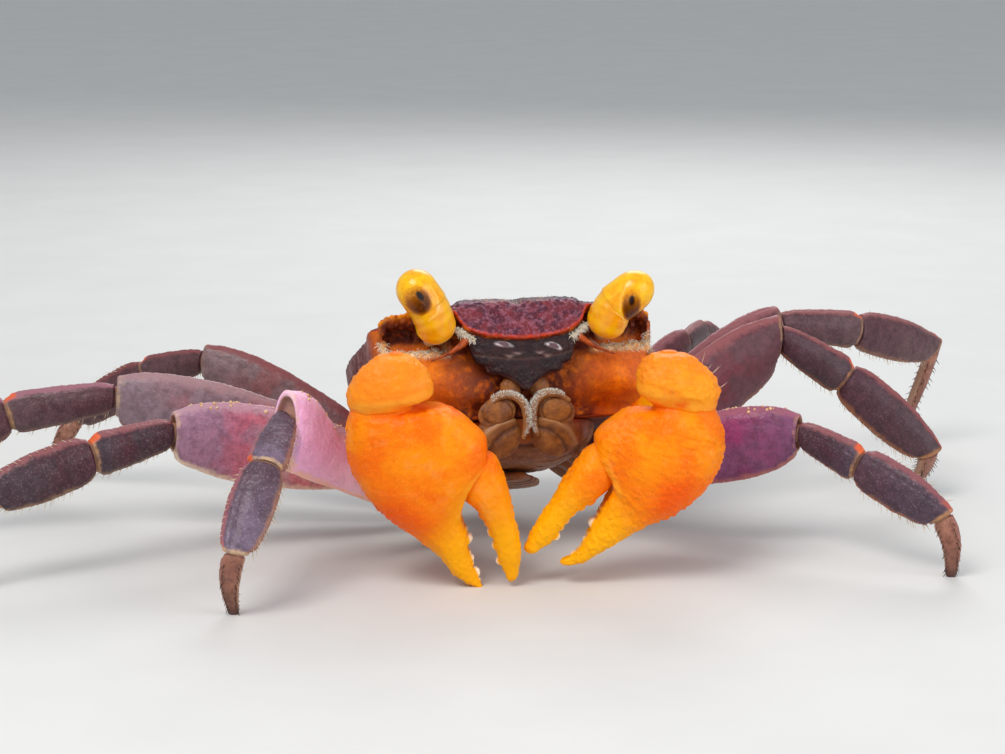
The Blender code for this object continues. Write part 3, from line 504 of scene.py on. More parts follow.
def beads(name, roots, ways, sizes, finish, places, tall=1.0, sides=8):
    """Round or blunt knobs standing on a surface, their lower rims sunk in it."""
    roots, ways = np.asarray(roots, float), unit(ways)
    sizes = np.asarray(sizes, float)[:, None]
    side = unit(np.cross(ways, [0.21, 0.43, 0.87]))
    other = np.cross(ways, side)
    levels = []
    profile = [(1.0, -0.5), (1.0, 0.1), (0.86, 0.5), (0.5, 0.86)]
    for width, rise in profile:
        for k in range(sides):
            turn = 2.0 * math.pi * k / sides
            levels.append(roots + ways * sizes * rise * tall
                          + (side * math.cos(turn) + other * math.sin(turn)) * sizes * width)
    levels.append(roots + ways * sizes * tall)
    levels.append(roots - ways * sizes * 0.5 * tall)
    faces = []
    for low in range(len(profile) - 1):
        faces += [(low * sides + k, low * sides + (k + 1) % sides, (low + 1) * sides + (k + 1) % sides,
                   (low + 1) * sides + k) for k in range(sides)]
    top = (len(profile) - 1) * sides
    faces += [(top + k, top + (k + 1) % sides, top + sides) for k in range(sides)]
    faces += [((k + 1) % sides, k, top + sides + 1) for k in range(sides)]
    return many(name, np.stack(levels, axis=1), faces, finish, places)


# %% [markdown]
# ## Colours of the legs
# A leg's shell is darkest along its middle, with a paler lower edge, a rosy upper edge that is
# partly a painted highlight, and a cream or orange spot where it ends. Grains carry a second colour.
# One function makes the finish for every stretch of leg, and each leg has its own few colours,
# because the picture shows the front right leg rosy, the one beside it lilac, and the left ones plum.

# %% Finish of a leg's shell
SKIN = (178, 134, 106)
SPOT = (232, 98, 40)
GRIME = (96, 62, 60)
WAVER = 0.07


def leg_finish(name, colours, net_size, collar, flush_share, spot_share, grime):
    """Shell colours from joint to joint: middle, edges, net of pale grains, and the collar at the end.
    The upper edge's colour is partly a painted highlight.
    """
    near, far, low, top, flush, net, end = colours
    made, tree, shader, where, marks = new_finish(name, 0.46, coat=0.12, glow=0.1, glow_size=0.4)
    base = blended(tree, ramp(tree, marks["along"], 0.08, 0.8), near, far)
    blotch = ramp(tree, noise(tree, where, 2.2), 0.42, 0.6, 0.0, flush_share)
    base = blended(tree, times(tree, blotch, ramp(tree, marks["along"], 0.95, 0.6)), base, flush)
    fine = ramp(tree, cells(tree, where, net_size), 0.42, 0.14)
    base = blended(tree, times(tree, fine, 0.4), base, net)
    grimy = ramp(tree, noise(tree, where, 0.5, 4.0, 0.65), 0.35, 0.7, 0.0, grime)
    base = blended(tree, grimy, base, GRIME, "MULTIPLY")
    edge = wavy(tree, where, marks["height"], 0.7, 0.26, 4.0, 0.7)
    base = blended(tree, ramp(tree, edge, 0.26, 0.14, 0.0, 0.85), base, low)
    # The upper edge is partly a painted highlight along the top of the limb.
    base = blended(tree, ramp(tree, edge, 0.98, 1.1, 0.0, 0.8), base, top)
    ended = wavy(tree, where, marks["along"], 0.4, WAVER)
    starts, full = (share + 0.5 * WAVER for share in collar)
    base = blended(tree, ramp(tree, ended, starts, full, 0.0, 0.85), base, end)
    dot = times(tree, ramp(tree, ended, 0.93, 0.97), ramp(tree, marks["height"], 0.88, 0.97))
    base = blended(tree, times(tree, dot, spot_share), base, SPOT)
    base = blended(tree, marks["skin"], base, SKIN)
    tree.links.new(base, shader.inputs["Base Color"])
    roughen(tree, shader, plus(tree, cells(tree, where, 0.11), noise(tree, where, 0.05)), 0.025, 0.7)
    return made


# %% Colours of each leg
# Shell near the body, shell towards the end, lower edge, upper edge with its painted highlight,
# flush in the middle, grains, collar.
UPPER_PAINT = {
    "leg_right_1": [(255, 218, 232), (250, 186, 228), (248, 192, 158), (246, 196, 222), (244, 172, 220),
                    (255, 228, 240), (242, 206, 176)],
    "leg_right_2": [(246, 184, 160), (166, 122, 146), (236, 206, 178), (190, 146, 160), (222, 92, 112),
                    (124, 88, 130), (222, 190, 146)],
    "leg_right_3": [(150, 88, 104), (146, 122, 132), (150, 106, 92), (168, 130, 134), (182, 84, 88),
                    (170, 140, 150), (206, 174, 128)],
    "leg_right_4": [(146, 100, 104), (138, 112, 116), (138, 96, 84), (136, 66, 68), (160, 84, 84),
                    (160, 128, 132), (176, 130, 90)],
    "leg_left_1": [(144, 74, 126), (130, 74, 112), (186, 116, 104), (158, 92, 110), (162, 52, 112),
                   (112, 60, 104), (206, 156, 118)],
    "leg_left_2": [(118, 54, 80), (102, 58, 66), (142, 86, 60), (152, 88, 90), (124, 38, 50),
                   (88, 44, 62), (204, 160, 112)],
    "leg_left_3": [(118, 60, 76), (120, 70, 78), (146, 92, 70), (154, 94, 98), (122, 46, 56),
                   (96, 50, 66), (204, 160, 120)],
    "leg_left_4": [(118, 60, 76), (120, 70, 78), (146, 92, 70), (154, 94, 98), (122, 46, 56),
                   (96, 50, 66), (190, 138, 100)],
}
OUTER_PAINT = {
    "leg_right_1": [(96, 72, 86), (118, 98, 120), (160, 112, 88), (176, 106, 112), (92, 64, 80),
                    (164, 144, 160), (222, 182, 132)],
    "leg_right_2": [(74, 44, 54), (72, 54, 64), (150, 116, 88), (150, 88, 92), (84, 34, 46),
                    (138, 112, 114), (190, 142, 98)],
    "leg_right_3": [(96, 60, 68), (98, 70, 76), (128, 92, 80), (164, 108, 122), (86, 44, 54),
                    (136, 108, 112), (186, 140, 98)],
    "leg_right_4": [(96, 60, 64), (96, 66, 72), (122, 86, 74), (132, 68, 70), (86, 50, 56),
                    (128, 98, 102), (168, 122, 84)],
    "leg_left_1": [(88, 60, 74), (82, 62, 78), (178, 114, 82), (150, 88, 92), (78, 46, 62),
                   (140, 116, 128), (196, 142, 94)],
    "leg_left_2": [(84, 48, 60), (78, 52, 60), (158, 100, 66), (150, 82, 82), (76, 38, 48),
                   (122, 90, 98), (186, 126, 78)],
    "leg_left_3": [(98, 60, 68), (104, 74, 78), (146, 96, 74), (152, 90, 90), (84, 48, 58),
                   (130, 100, 106), (180, 130, 90)],
    "leg_left_4": [(98, 60, 68), (104, 74, 78), (146, 96, 74), (152, 90, 90), (84, 48, 58),
                   (130, 100, 106), (180, 130, 90)],
}
TOE_PAINT = [(182, 126, 104), (132, 88, 72), (176, 134, 110), (158, 104, 92), (150, 92, 76),
             (112, 74, 66), (92, 60, 52)]
# Size of the net of grains, where the collar starts and is full, strength of flush, spot and grime.
FINISH_PLAN = {
    "upper": (0.17, (0.985, 1.03), 0.65, 0.0, 0.4),
    "wrist": (0.16, (0.975, 1.02), 0.8, 0.85, 0.45),
    "hand": (0.16, (0.965, 1.02), 0.5, 0.25, 0.45),
    "toe": (0.2, (0.8, 0.95), 0.6, 0.0, 0.45),
}
CLEAN_GRIME = 0.1
leg_finishes = {}
for leg in UPPER_PAINT:
    colours = {"upper": UPPER_PAINT[leg], "wrist": OUTER_PAINT[leg], "hand": OUTER_PAINT[leg],
               "toe": TOE_PAINT}
    for kind, (net_size, collar, flush, spot, grime) in FINISH_PLAN.items():
        if (leg, kind) == (FOLDED_LEG, "upper"):
            grime = CLEAN_GRIME
        leg_finishes[leg, kind] = leg_finish("%s_%s_shell" % (leg, kind), colours[kind], net_size, collar,
                                             flush, spot, grime)
print("leg finishes:", len(leg_finishes))

# %% Finishes of bristles and beads
def plain_finish(name, colour, second, roughness, coat=0.0, glow=0.0, size=0.2):
    """Two colours clouded together, for bristles, beads, hair and feelers."""
    made, tree, shader, where = new_finish(name, roughness, coat, glow)[:4]
    base = mottled(tree, where, size, 0.35, 0.65, colour, second)
    tree.links.new(base, shader.inputs["Base Color"])
    roughen(tree, shader, noise(tree, where, size * 0.3), 0.01, 0.5)
    return made


dark_bristle = plain_finish("dark_bristle", (56, 38, 34), (96, 68, 54), 0.45)
fair_bristle = plain_finish("fair_bristle", (206, 176, 140), (232, 212, 184), 0.5, glow=0.2)
cream_bead = plain_finish("cream_bead", (232, 204, 150), (200, 140, 110), 0.4, coat=0.2)
print("bristle and bead finishes:", dark_bristle.name, fair_bristle.name, cream_bead.name)

# %% [markdown]
# ## Leg segments
# Each segment is a tube between two joints, flattened, deepest before its middle, with a keel along
# the top. Its end faces lie in the plane that halves the bend, as on the solids. Past the first face
# a plug of soft skin runs on into the segment before, and the far end is a cup with a rounded rim,
# which is how a crab's limb is jointed.

# %% Segment shapes
GAP = 0.3
# Each section's share of the length and of the full size.
UPPER_SHAPE = [(0.0, 0.50), (0.1, 0.62), (0.3, 0.86), (0.5, 0.99), (0.7, 1.0), (0.85, 0.88), (0.96, 0.68),
               (1.0, 0.54)]
FOLDED_SHAPE = [(0.0, 0.44), (0.1, 0.47), (0.3, 0.50), (0.46, 0.57), (0.6, 0.72), (0.75, 0.9), (0.88, 1.0),
                (0.96, 0.9), (1.0, 0.74)]
FOLDED_SAG = 0.6
WRIST_SHAPE = [(0.0, 0.58), (0.08, 0.70), (0.35, 0.89), (0.7, 1.0), (0.93, 0.98), (1.0, 0.86)]
HAND_SHAPE = [(0.0, 0.76), (0.08, 0.87), (0.35, 1.0), (0.65, 0.96), (0.9, 0.74), (1.0, 0.58)]
TOE_SHAPE = [(0.0, 0.92), (0.1, 1.0), (0.4, 0.9), (0.75, 0.66)]
TOE_TIP = 0.27
TOE_BOW = 0.25
# Each end row's share of the end's size, and how far the row goes on.
PLUG = [(0.02, 0.95), (0.3, 0.9), (0.52, 0.75), (0.68, 0.55), (0.78, 0.32), (0.82, 0.2), (0.84, 0.14),
        (0.87, 0.05), (0.93, 0.0), (0.97, -0.01)]
CUP = [(0.99, 0.05), (0.95, 0.12), (0.89, 0.15), (0.83, 0.13), (0.79, 0.06), (0.77, -0.06), (0.76, -0.3),
       (0.4, -0.35), (0.02, -0.35)]
PLUG_SKIN_ROWS, CUP_SKIN_ROWS = 7, 5
print("rows of a plug and of a cup:", len(PLUG), len(CUP))


# %% Rings of a segment
def slid(ring, way, point, normal):
    """A ring's points moved along a way until they lie in a plane."""
    return ring + np.outer((point - ring) @ normal / (way @ normal), way)


def held(ring, way, point, normal):
    """Only the points behind a plane are slid up to it."""
    behind = (ring - point) @ normal < 0.0
    return np.where(behind[:, None], slid(ring, way, point, normal), ring)


def segment(start, end, before, after, hint, shape, height, thick, cols, bow=0.0):
    """Rings of one segment, with the facing of its first and last ring."""
    way = unit(end - start)
    across = unit(np.cross(way, hint))
    up = unit(np.cross(across, way))
    length = np.linalg.norm(end - start)
    rings = [oval(start + way * (length * share) + up * (bow * math.sin(math.pi * share)),
                  across * (0.5 * thick * (0.35 + 0.65 * size)), up * (0.5 * height * size), 2.3, cols, 0.12)
             for share, size in shape]
    first = unit(before + way)
    for k in range(3):
        move = slid if k == 0 else held
        rings[k] = move(rings[k], way, start + first * (0.5 * GAP + 0.1 * k), first)
    if after is None:
        return rings, first, way
    last = unit(way + after)
    for k in range(3):
        move = slid if k == 0 else held
        rings[-1 - k] = move(rings[-1 - k], way, end - last * (0.5 * GAP + 0.1 * k), -last)
    return rings, first, last


# %% One finished segment
def limb_mask(rows, cols, along, skin):
    """The height round the limb, with the share along it and the soft skin given for each row."""
    turn = 2.0 * np.pi * (np.arange(cols) + 0.5) / cols
    mask = np.empty((rows, cols, 4))
    mask[..., 0] = along[:, None]
    mask[..., 1] = 0.5 + 0.5 * np.sin(turn)[None]
    mask[..., 2] = skin[:, None]
    mask[..., 3] = 0.0
    return mask


def limb(name, rings, first, last, finish, spacing, seed, keel):
    """One finished segment; returns its middle rows, for bristles and beads to stand on."""
    rows, share = through(rings, spacing)
    cols = rows.shape[1]
    turn = 2.0 * np.pi * (np.arange(cols) + 0.5) / cols
    calm = step_up(0.0, 0.08, share) * step_up(1.0, 0.93, share)
    ridge = np.exp(-((turn - 0.5 * np.pi) / 0.14) ** 2) + 0.6 * np.exp(-((turn - 1.40 * np.pi) / 0.1) ** 2)
    ridge += 0.6 * np.exp(-((turn - 1.60 * np.pi) / 0.1) ** 2)
    trough = sum(np.exp(-((turn - c * np.pi) / 0.14) ** 2) for c in (0.17, 0.83))
    grain = grains(rows, 0.19, seed)
    push = keel * ridge[None] - 0.03 * trough[None] + 0.03 * grain + 0.04 * clouds(rows, 0.9, seed)
    rows = swelled(rows, push * calm[:, None])
    plug = drawn_in(rows[0], -first, PLUG)
    parts = [plug, rows]
    if last is not None:
        parts.append(drawn_in(rows[-1], last, CUP))
    grid = np.concatenate(parts)
    count = len(grid)
    along = np.concatenate([np.zeros(len(plug)), share, np.ones(count - len(plug) - len(rows))])
    skin = np.zeros(count)
    skin[:PLUG_SKIN_ROWS] = 1.0
    if last is not None:
        skin[-CUP_SKIN_ROWS:] = 0.8
    shell(name + "_shell", grid, finish, limb_mask(count, cols, along, skin), [name])
    return rows


def standing_on(rows, shares, turns):
    """Points and normals of a limb's surface at shares of its length and turns round it, 0 to 1."""
    i = np.round(np.asarray(shares) * (len(rows) - 1)).astype(int)
    j = np.round(np.asarray(turns) * rows.shape[1] - 0.5).astype(int) % rows.shape[1]
    return rows[i, j], outward(rows)[i, j]


# %% Build the legs
# The folded leg turns the broad side of its outer parts forwards.
TURNED = {FOLDED_LEG: np.array((-1.0, 0.0, 0.15))}
# Points stand closer together on the legs in front.
SPACING = {"leg_right_2": 0.075, "leg_right_1": 0.085, "leg_left_1": 0.09}
REAR_SPACING = 0.12
leg_rows = {}
for side_name, side in SIDES:
    for number in range(4):
        leg = "leg_%s_%d" % (side_name, number + 1)
        x, y, z = hip_of(leg, number)
        points = [on_body((side * x, y, z))] + [np.array(p) for p in JOINTS[leg]]
        ways = [unit(b - a) for a, b in zip(points, points[1:])]
        flat = unit(ways[0] * (1.0, 1.0, 0.0))
        rise = np.array((0.0, 0.0, 1.0))
        hints = [rise, rise, unit(rise + flat * 0.4), unit(rise * 0.3 + flat)]
        if leg in TURNED:
            hints = [rise] + [TURNED[leg]] * 3
        spacing = SPACING.get(leg, REAR_SPACING)
        folded = leg == FOLDED_LEG
        shapes = [FOLDED_SHAPE if folded else UPPER_SHAPE, WRIST_SHAPE, HAND_SHAPE]
        before = ways[0]
        for i, kind in enumerate(("upper", "wrist", "hand")):
            height, thick = LEG_HEIGHTS[number][i], LEG_THICK[number][i]
            cols = 2 * int((height + thick) / spacing)
            bow = -FOLDED_SAG if folded and i == 0 else 0.0
            rings, first, last = segment(points[i], points[i + 1], before, ways[i + 1], hints[i], shapes[i],
                                         height, thick, cols, bow)
            leg_rows[leg, kind] = limb("%s_%s" % (leg, kind), rings, first, last, leg_finishes[leg, kind],
                                       spacing, 10 * number + i, 0.09 if i == 0 else 0.06)
            before = ways[i]
        rings, first, way = segment(points[3], points[4], before, None, hints[3], TOE_SHAPE,
                                    LEG_HEIGHTS[number][3], LEG_THICK[number][3], 40, TOE_BOW)
        middle = rings[-1].mean(axis=0)
        outer = unit((rings[-1] - middle) * (1.0, 1.0, 0.0)) * TOE_TIP
        rings.append(outer + points[4] * (1.0, 1.0, 0.0))
        leg_rows[leg, "toe"] = limb(leg + "_toe", rings, first, None, leg_finishes[leg, "toe"], 0.09,
                                    50 + number, 0.03)
print("leg segments:", len(leg_rows))

# %% [markdown]
# ## Bristles and grains of the limbs
# Each toe carries rows of short dark spines for grip, and the hands and wrists a sparse row of finer
# ones along the lower edge. The upper parts of three front legs have pale grains along their top.

# %% Bristles of the legs
# Lines round the limb, bristles in each line, their length and thickness.
BRISTLE_PLAN = {
    "toe": ((0.12, 0.38, 0.62, 0.88), 15, 0.34, 0.034),
    "hand": ((0.70, 0.80, 0.3), 13, 0.5, 0.026),
    "wrist": ((0.72, 0.79), 8, 0.42, 0.026),
}
draw = np.random.default_rng(3)
for (leg, kind), rows in leg_rows.items():
    if kind == "upper":
        continue
    lines, number, long, thick = BRISTLE_PLAN[kind]
    total = number * len(lines)
    shares = np.tile(np.linspace(0.12, 0.93, number), len(lines)) + draw.uniform(-0.02, 0.02, total)
    turns = np.repeat(lines, number) + draw.uniform(-0.015, 0.015, total)
    roots, ways = standing_on(rows, shares, turns)
    onward = unit(rows[-1].mean(axis=0) - rows[0].mean(axis=0))
    finish, slot = (dark_bristle, "toe") if kind == "toe" else (fair_bristle, "leg_outer")
    bristles("%s_%s_bristles" % (leg, kind), roots, ways + onward * 0.7,
             long * draw.uniform(0.5, 1.1, total), thick, finish, np.column_stack([shares, turns]),
             (0.0, 0.0, -0.1))
print("bristles in each line:", {kind: plan[1] for kind, plan in BRISTLE_PLAN.items()})

# %% Pale grains of the legs
UPPER_GRAINS = {"leg_right_2": 70, "leg_right_1": 26, "leg_left_1": 30}
for leg, number in UPPER_GRAINS.items():
    rows = leg_rows[leg, "upper"]
    shares = draw.uniform(0.2, 0.97, number)
    turns = 0.25 + draw.normal(0.0, 0.035, number)
    roots, ways = standing_on(rows, shares, turns)
    beads("%s_upper_grains" % leg, roots, ways, draw.uniform(0.05, 0.11, number), cream_bead,
          np.column_stack([shares, turns]), 0.8)
print("pale grains:", sum(UPPER_GRAINS.values()))

# %% [markdown]
# ## Claws
# Each claw is a knuckle, a palm that ends in a fixed finger, and a moving finger. The picture shows
# them flat on, so each is a row of cross-sections laid across one leaning plane: outer edge, inner
# edge and half thickness. Creases, ridges and the deep red side of the palm are lines and spots in
# that same plane, and so are the blunt white teeth on the two cutting edges.

# %% Where the claws hang
CLAWS = {
    "right": {"wrist": (-6.4, -13.2, 9.73), "elbow": (-6.6, -10.7, 10.9), "lean": 3.9, "turn": 0.0,
              "side": -1.0},
    "left": {"wrist": (10.1, -11.6, 9.75), "elbow": (10.3, -9.0, 10.5), "lean": -2.0, "turn": -3.0,
             "side": 1.0},
}
print("claws:", list(CLAWS))
ARM_HIP = (5.2, -4.6, -5.2)
ARM = (1.0, 1.3)
ARM_SHAPE = [(0.0, 0.72), (0.2, 0.85), (0.5, 1.0), (0.8, 1.0), (0.95, 0.92), (1.0, 0.8)]

# %% Sections of palms, fingers and knuckles
# Outer edge across and down, inner edge across and down, half thickness.
PALM = {
    "right": [
        (-1.76, -0.34, 1.62, -0.50, 1.36), (-1.87, 0.25, 2.10, -0.55, 1.50), (-1.93, 1.10, 3.10, -0.70, 1.72),
        (-1.80, 2.40, 4.05, -0.42, 1.85), (-1.05, 4.10, 5.00, 0.40, 1.95), (0.10, 5.50, 5.80, 1.25, 1.90),
        (1.10, 6.30, 5.82, 2.20, 1.75), (1.75, 6.70, 5.22, 3.25, 1.55), (2.30, 7.20, 4.52, 4.55, 1.30),
        (2.80, 7.60, 4.38, 5.55, 1.10), (3.30, 8.18, 4.65, 6.60, 0.95), (3.70, 8.75, 4.72, 7.50, 0.80),
        (4.20, 9.28, 4.88, 8.20, 0.60), (4.68, 9.58, 5.10, 8.92, 0.42),
    ],
    "left": [
        (-1.86, 0.00, 1.70, -0.16, 1.36), (-2.00, 0.45, 2.15, -0.12, 1.50), (-2.25, 1.45, 3.15, -0.08, 1.72),
        (-2.15, 2.60, 4.05, 0.42, 1.85), (-1.55, 3.90, 4.75, 1.05, 1.95), (-0.60, 5.00, 4.96, 1.52, 1.90),
        (0.45, 5.75, 4.92, 2.08, 1.75), (1.50, 6.17, 4.42, 3.08, 1.55), (2.30, 6.54, 4.00, 4.08, 1.30),
        (3.10, 6.96, 4.34, 4.95, 1.10), (3.85, 7.44, 4.80, 5.90, 0.95), (4.60, 7.90, 5.20, 6.70, 0.80),
        (5.25, 8.33, 5.66, 7.60, 0.60), (6.00, 8.54, 6.25, 8.12, 0.42),
    ],
}
FINGER = {
    "right": [
        (6.24, 2.25, 4.52, 4.66, 1.30), (6.60, 3.25, 4.98, 5.02, 1.32), (6.92, 4.48, 5.44, 5.60, 1.16),
        (7.18, 5.65, 5.80, 6.38, 0.98), (7.45, 6.90, 6.12, 7.38, 0.78), (7.55, 7.96, 6.40, 8.32, 0.60),
        (7.45, 8.80, 6.70, 9.05, 0.42),
    ],
    "left": [
        (5.32, 2.02, 4.04, 4.22, 1.30), (5.92, 2.85, 4.62, 4.70, 1.32), (6.67, 3.95, 5.42, 5.20, 1.16),
        (7.22, 4.90, 6.25, 5.90, 0.92), (7.77, 5.75, 6.78, 6.65, 0.78), (8.25, 6.60, 7.35, 7.33, 0.60),
        (8.55, 7.28, 7.95, 7.75, 0.42),
    ],
}
PALM_TIP = {"right": (5.22, 9.73), "left": (6.75, 8.48)}
FINGER_TIP = {"right": (7.12, 9.45), "left": (8.62, 7.86)}
KNUCKLE = {
    "right": [
        (0.45, -3.60, 1.20, -3.60, 0.40), (-0.25, -3.36, 1.65, -3.36, 0.95),
        (-1.10, -2.65, 2.30, -2.70, 1.40), (-1.60, -1.95, 2.80, -1.85, 1.70),
        (-1.85, -1.25, 2.72, -1.32, 1.72), (-1.85, -0.85, 2.05, -0.98, 1.52),
        (-1.76, -0.62, 1.66, -0.80, 1.38),
    ],
    "left": [
        (0.35, -3.30, 1.30, -3.30, 0.40), (-0.35, -3.05, 1.80, -3.10, 0.95),
        (-1.05, -2.50, 2.30, -2.55, 1.35), (-1.70, -1.80, 2.52, -1.85, 1.70),
        (-1.95, -1.05, 2.50, -1.15, 1.75), (-1.88, -0.55, 2.05, -0.75, 1.52),
        (-1.80, -0.28, 1.66, -0.46, 1.38),
    ],
}
print("sections of a palm, a finger and a knuckle:", [len(t["right"]) for t in (PALM, FINGER, KNUCKLE)])

# %% Marks and teeth of the claws
SOCKET_RIDGE = {
    "right": [(5.9, 2.3), (5.2, 3.0), (4.7, 3.7), (4.35, 4.6), (4.2, 5.4)],
    "left": [(5.2, 2.0), (4.3, 2.8), (3.87, 3.6), (3.6, 4.4)],
}
DEEP_SIDE = {"right": [(0.6, 5.2), (2.3, 6.8)], "left": [(0.2, 4.6), (1.8, 5.9)]}
# The smooth band of the knuckle starts under this line.
KNUCKLE_BAND = {
    "right": [(-1.9, -1.25), (-1.35, -1.36), (0.8, -1.72), (2.25, -2.07), (2.9, -2.1)],
    "left": [(-2.0, -0.85), (-1.44, -0.91), (0.07, -1.01), (1.75, -1.79), (2.6, -1.95)],
}
DIMPLE = {"right": [(1.1, -1.05), (1.3, -0.98)], "left": [(0.1, -0.62), (0.35, -0.4)]}
# Teeth along a cutting edge: how far down the claw, height and half width.
PALM_TEETH = {
    "right": [(5.95, 0.10, 0.2), (6.35, 0.18, 0.2), (6.9, 0.36, 0.3), (7.75, 0.2, 0.2), (8.05, 0.28, 0.22),
              (8.35, 0.2, 0.16), (8.9, 0.34, 0.34), (9.35, 0.2, 0.14)],
    "left": [(5.05, 0.10, 0.15), (5.35, 0.16, 0.18), (5.72, 0.16, 0.18), (6.2, 0.36, 0.3), (6.85, 0.14, 0.18),
             (7.15, 0.22, 0.2), (7.6, 0.16, 0.25), (7.95, 0.2, 0.2)],
}
FINGER_TEETH = {
    "right": [(5.6, 0.14, 0.24), (6.05, 0.18, 0.24), (6.55, 0.26, 0.28), (7.35, 0.26, 0.26),
              (7.8, 0.12, 0.18),
              (8.25, 0.3, 0.24), (8.75, 0.12, 0.2)],
    "left": [(5.0, 0.2, 0.16), (5.35, 0.24, 0.16), (5.7, 0.24, 0.18), (6.1, 0.26, 0.2), (6.5, 0.24, 0.18),
             (6.95, 0.36, 0.24), (7.35, 0.2, 0.16)],
}
CLAW_COLS = 150
print("teeth on each edge:", [len(t["right"]) for t in (PALM_TEETH, FINGER_TEETH)])


# %% The claw's own plane
def claw_axes(side_name):
    """Wrist, and the three directions of the claw: across to the fingers, down, and out to the front."""
    claw = CLAWS[side_name]
    lean, turn = math.radians(claw["lean"]), math.radians(claw["turn"])
    across = np.array((-claw["side"] * math.cos(turn), math.sin(turn), 0.0))
    down = np.array((0.0, math.sin(lean), -math.cos(lean)))
    facing = unit(np.cross(across, down))
    return np.array(claw["wrist"]), across, down, facing * (1.0 if facing[1] < 0.0 else -1.0)


def claw_rings(side_name, table, power=2.5):
    wrist, across, down, facing = claw_axes(side_name)
    rings = []
    for ox, oy, ix, iy, half in table:
        outer = wrist + across * ox + down * oy
        inner = wrist + across * ix + down * iy
        rings.append(oval((outer + inner) / 2.0, facing * half, (inner - outer) / 2.0, power, CLAW_COLS))
    return rings


def on_claw(points, side_name):
    """Points as the claw's own numbers: across, down and out to the front."""
    wrist, across, down, facing = claw_axes(side_name)
    away = points - wrist
    return np.stack([away @ across, away @ down, away @ facing], axis=-1)


def near_line(places, line, width):
    """1 on a line of points, falling to 0 about two widths away from it."""
    best = np.full(places.shape[:-1], 1e9)
    for a, b in zip(line, line[1:]):
        a, b = np.array(a), np.array(b)
        share = np.clip(((places - a) @ (b - a)) / ((b - a) @ (b - a)), 0.0, 1.0)
        best = np.minimum(best, np.linalg.norm(places - a - share[..., None] * (b - a), axis=-1))
    return np.exp(-(best / width) ** 2)


# %% Claw finish
def claw_finish(name, main, bright, deep, tip, dots, pale):
    """Clouded orange with a deep side, paler finger ends, brown smudges and dots, and white teeth.
    Its pale pink clouds are partly painted highlights, and its fine light dots are painted glints.
    """
    made, tree, shader, where, marks = new_finish(name, 0.38, coat=0.04, glow=0.06, glow_size=0.3)
    shader.inputs["Specular IOR Level"].default_value = 0.15
    base = mottled(tree, where, 2.4, 0.38, 0.62, main, bright, detail=4.0)
    # Pale pink clouds: partly the shell's own colour, partly painted highlights.
    base = mottled(tree, where, 1.1, 0.52, 0.7, base, (252, 164, 84), pale, 4.0, 0.6)
    base = mottled(tree, where, 0.5, 0.55, 0.75, base, (236, 90, 0), 0.3)
    base = blended(tree, marks["height"], base, deep)
    base = blended(tree, ramp(tree, marks["along"], 0.45, 0.85), base, tip)
    smudge = times(tree, ramp(tree, noise(tree, where, 0.8, 4.0, 0.7), 0.6, 0.72), dots)
    base = blended(tree, smudge, base, (196, 92, 10))
    speck = times(tree, ramp(tree, cells(tree, where, 0.45), 0.12, 0.04), dots)
    base = blended(tree, speck, base, (150, 66, 14))
    # Fine light dots on the grains are painted glints.
    fine = times(tree, ramp(tree, cells(tree, where, 0.17), 0.30, 0.10), 0.35)
    base = blended(tree, fine, base, (255, 176, 60))
    # Pale knuckle and palm ridge; on the knuckle's smooth band this is partly a painted sheen.
    base = blended(tree, marks["skin"], base, (255, 176, 52))
    base = blended(tree, marks["grain"], base, (250, 238, 214))
    tree.links.new(base, shader.inputs["Base Color"])
    roughen(tree, shader, plus(tree, noise(tree, where, 0.12), noise(tree, where, 0.4)), 0.06, 0.7)
    return made


claw_paint = {
    "right": claw_finish("right_claw_shell", (250, 112, 0), (255, 142, 0), (246, 78, 0),
                         (255, 172, 0), 0.1, 0.3),
    "left": claw_finish("left_claw_shell", (250, 118, 0), (255, 148, 0), (246, 76, 0),
                        (255, 176, 0), 0.5, 0.25),
}
print("claw finishes:", len(claw_paint))

# %% One finished claw piece
CLAW_SPACING = 0.07
COARSE_GRAIN, FINE_GRAIN, EDGE_GRAIN = 0.36, 0.24, 0.4


def tooth_line(down, teeth):
    """Height of a toothed edge at places down the claw: blunt rounded teeth on it."""
    steps = [1.15 * h * np.sqrt(np.clip(1.0 - ((down - y) / w) ** 2, 0.0, 1.0)) for y, h, w in teeth]
    return np.max(steps, axis=0)


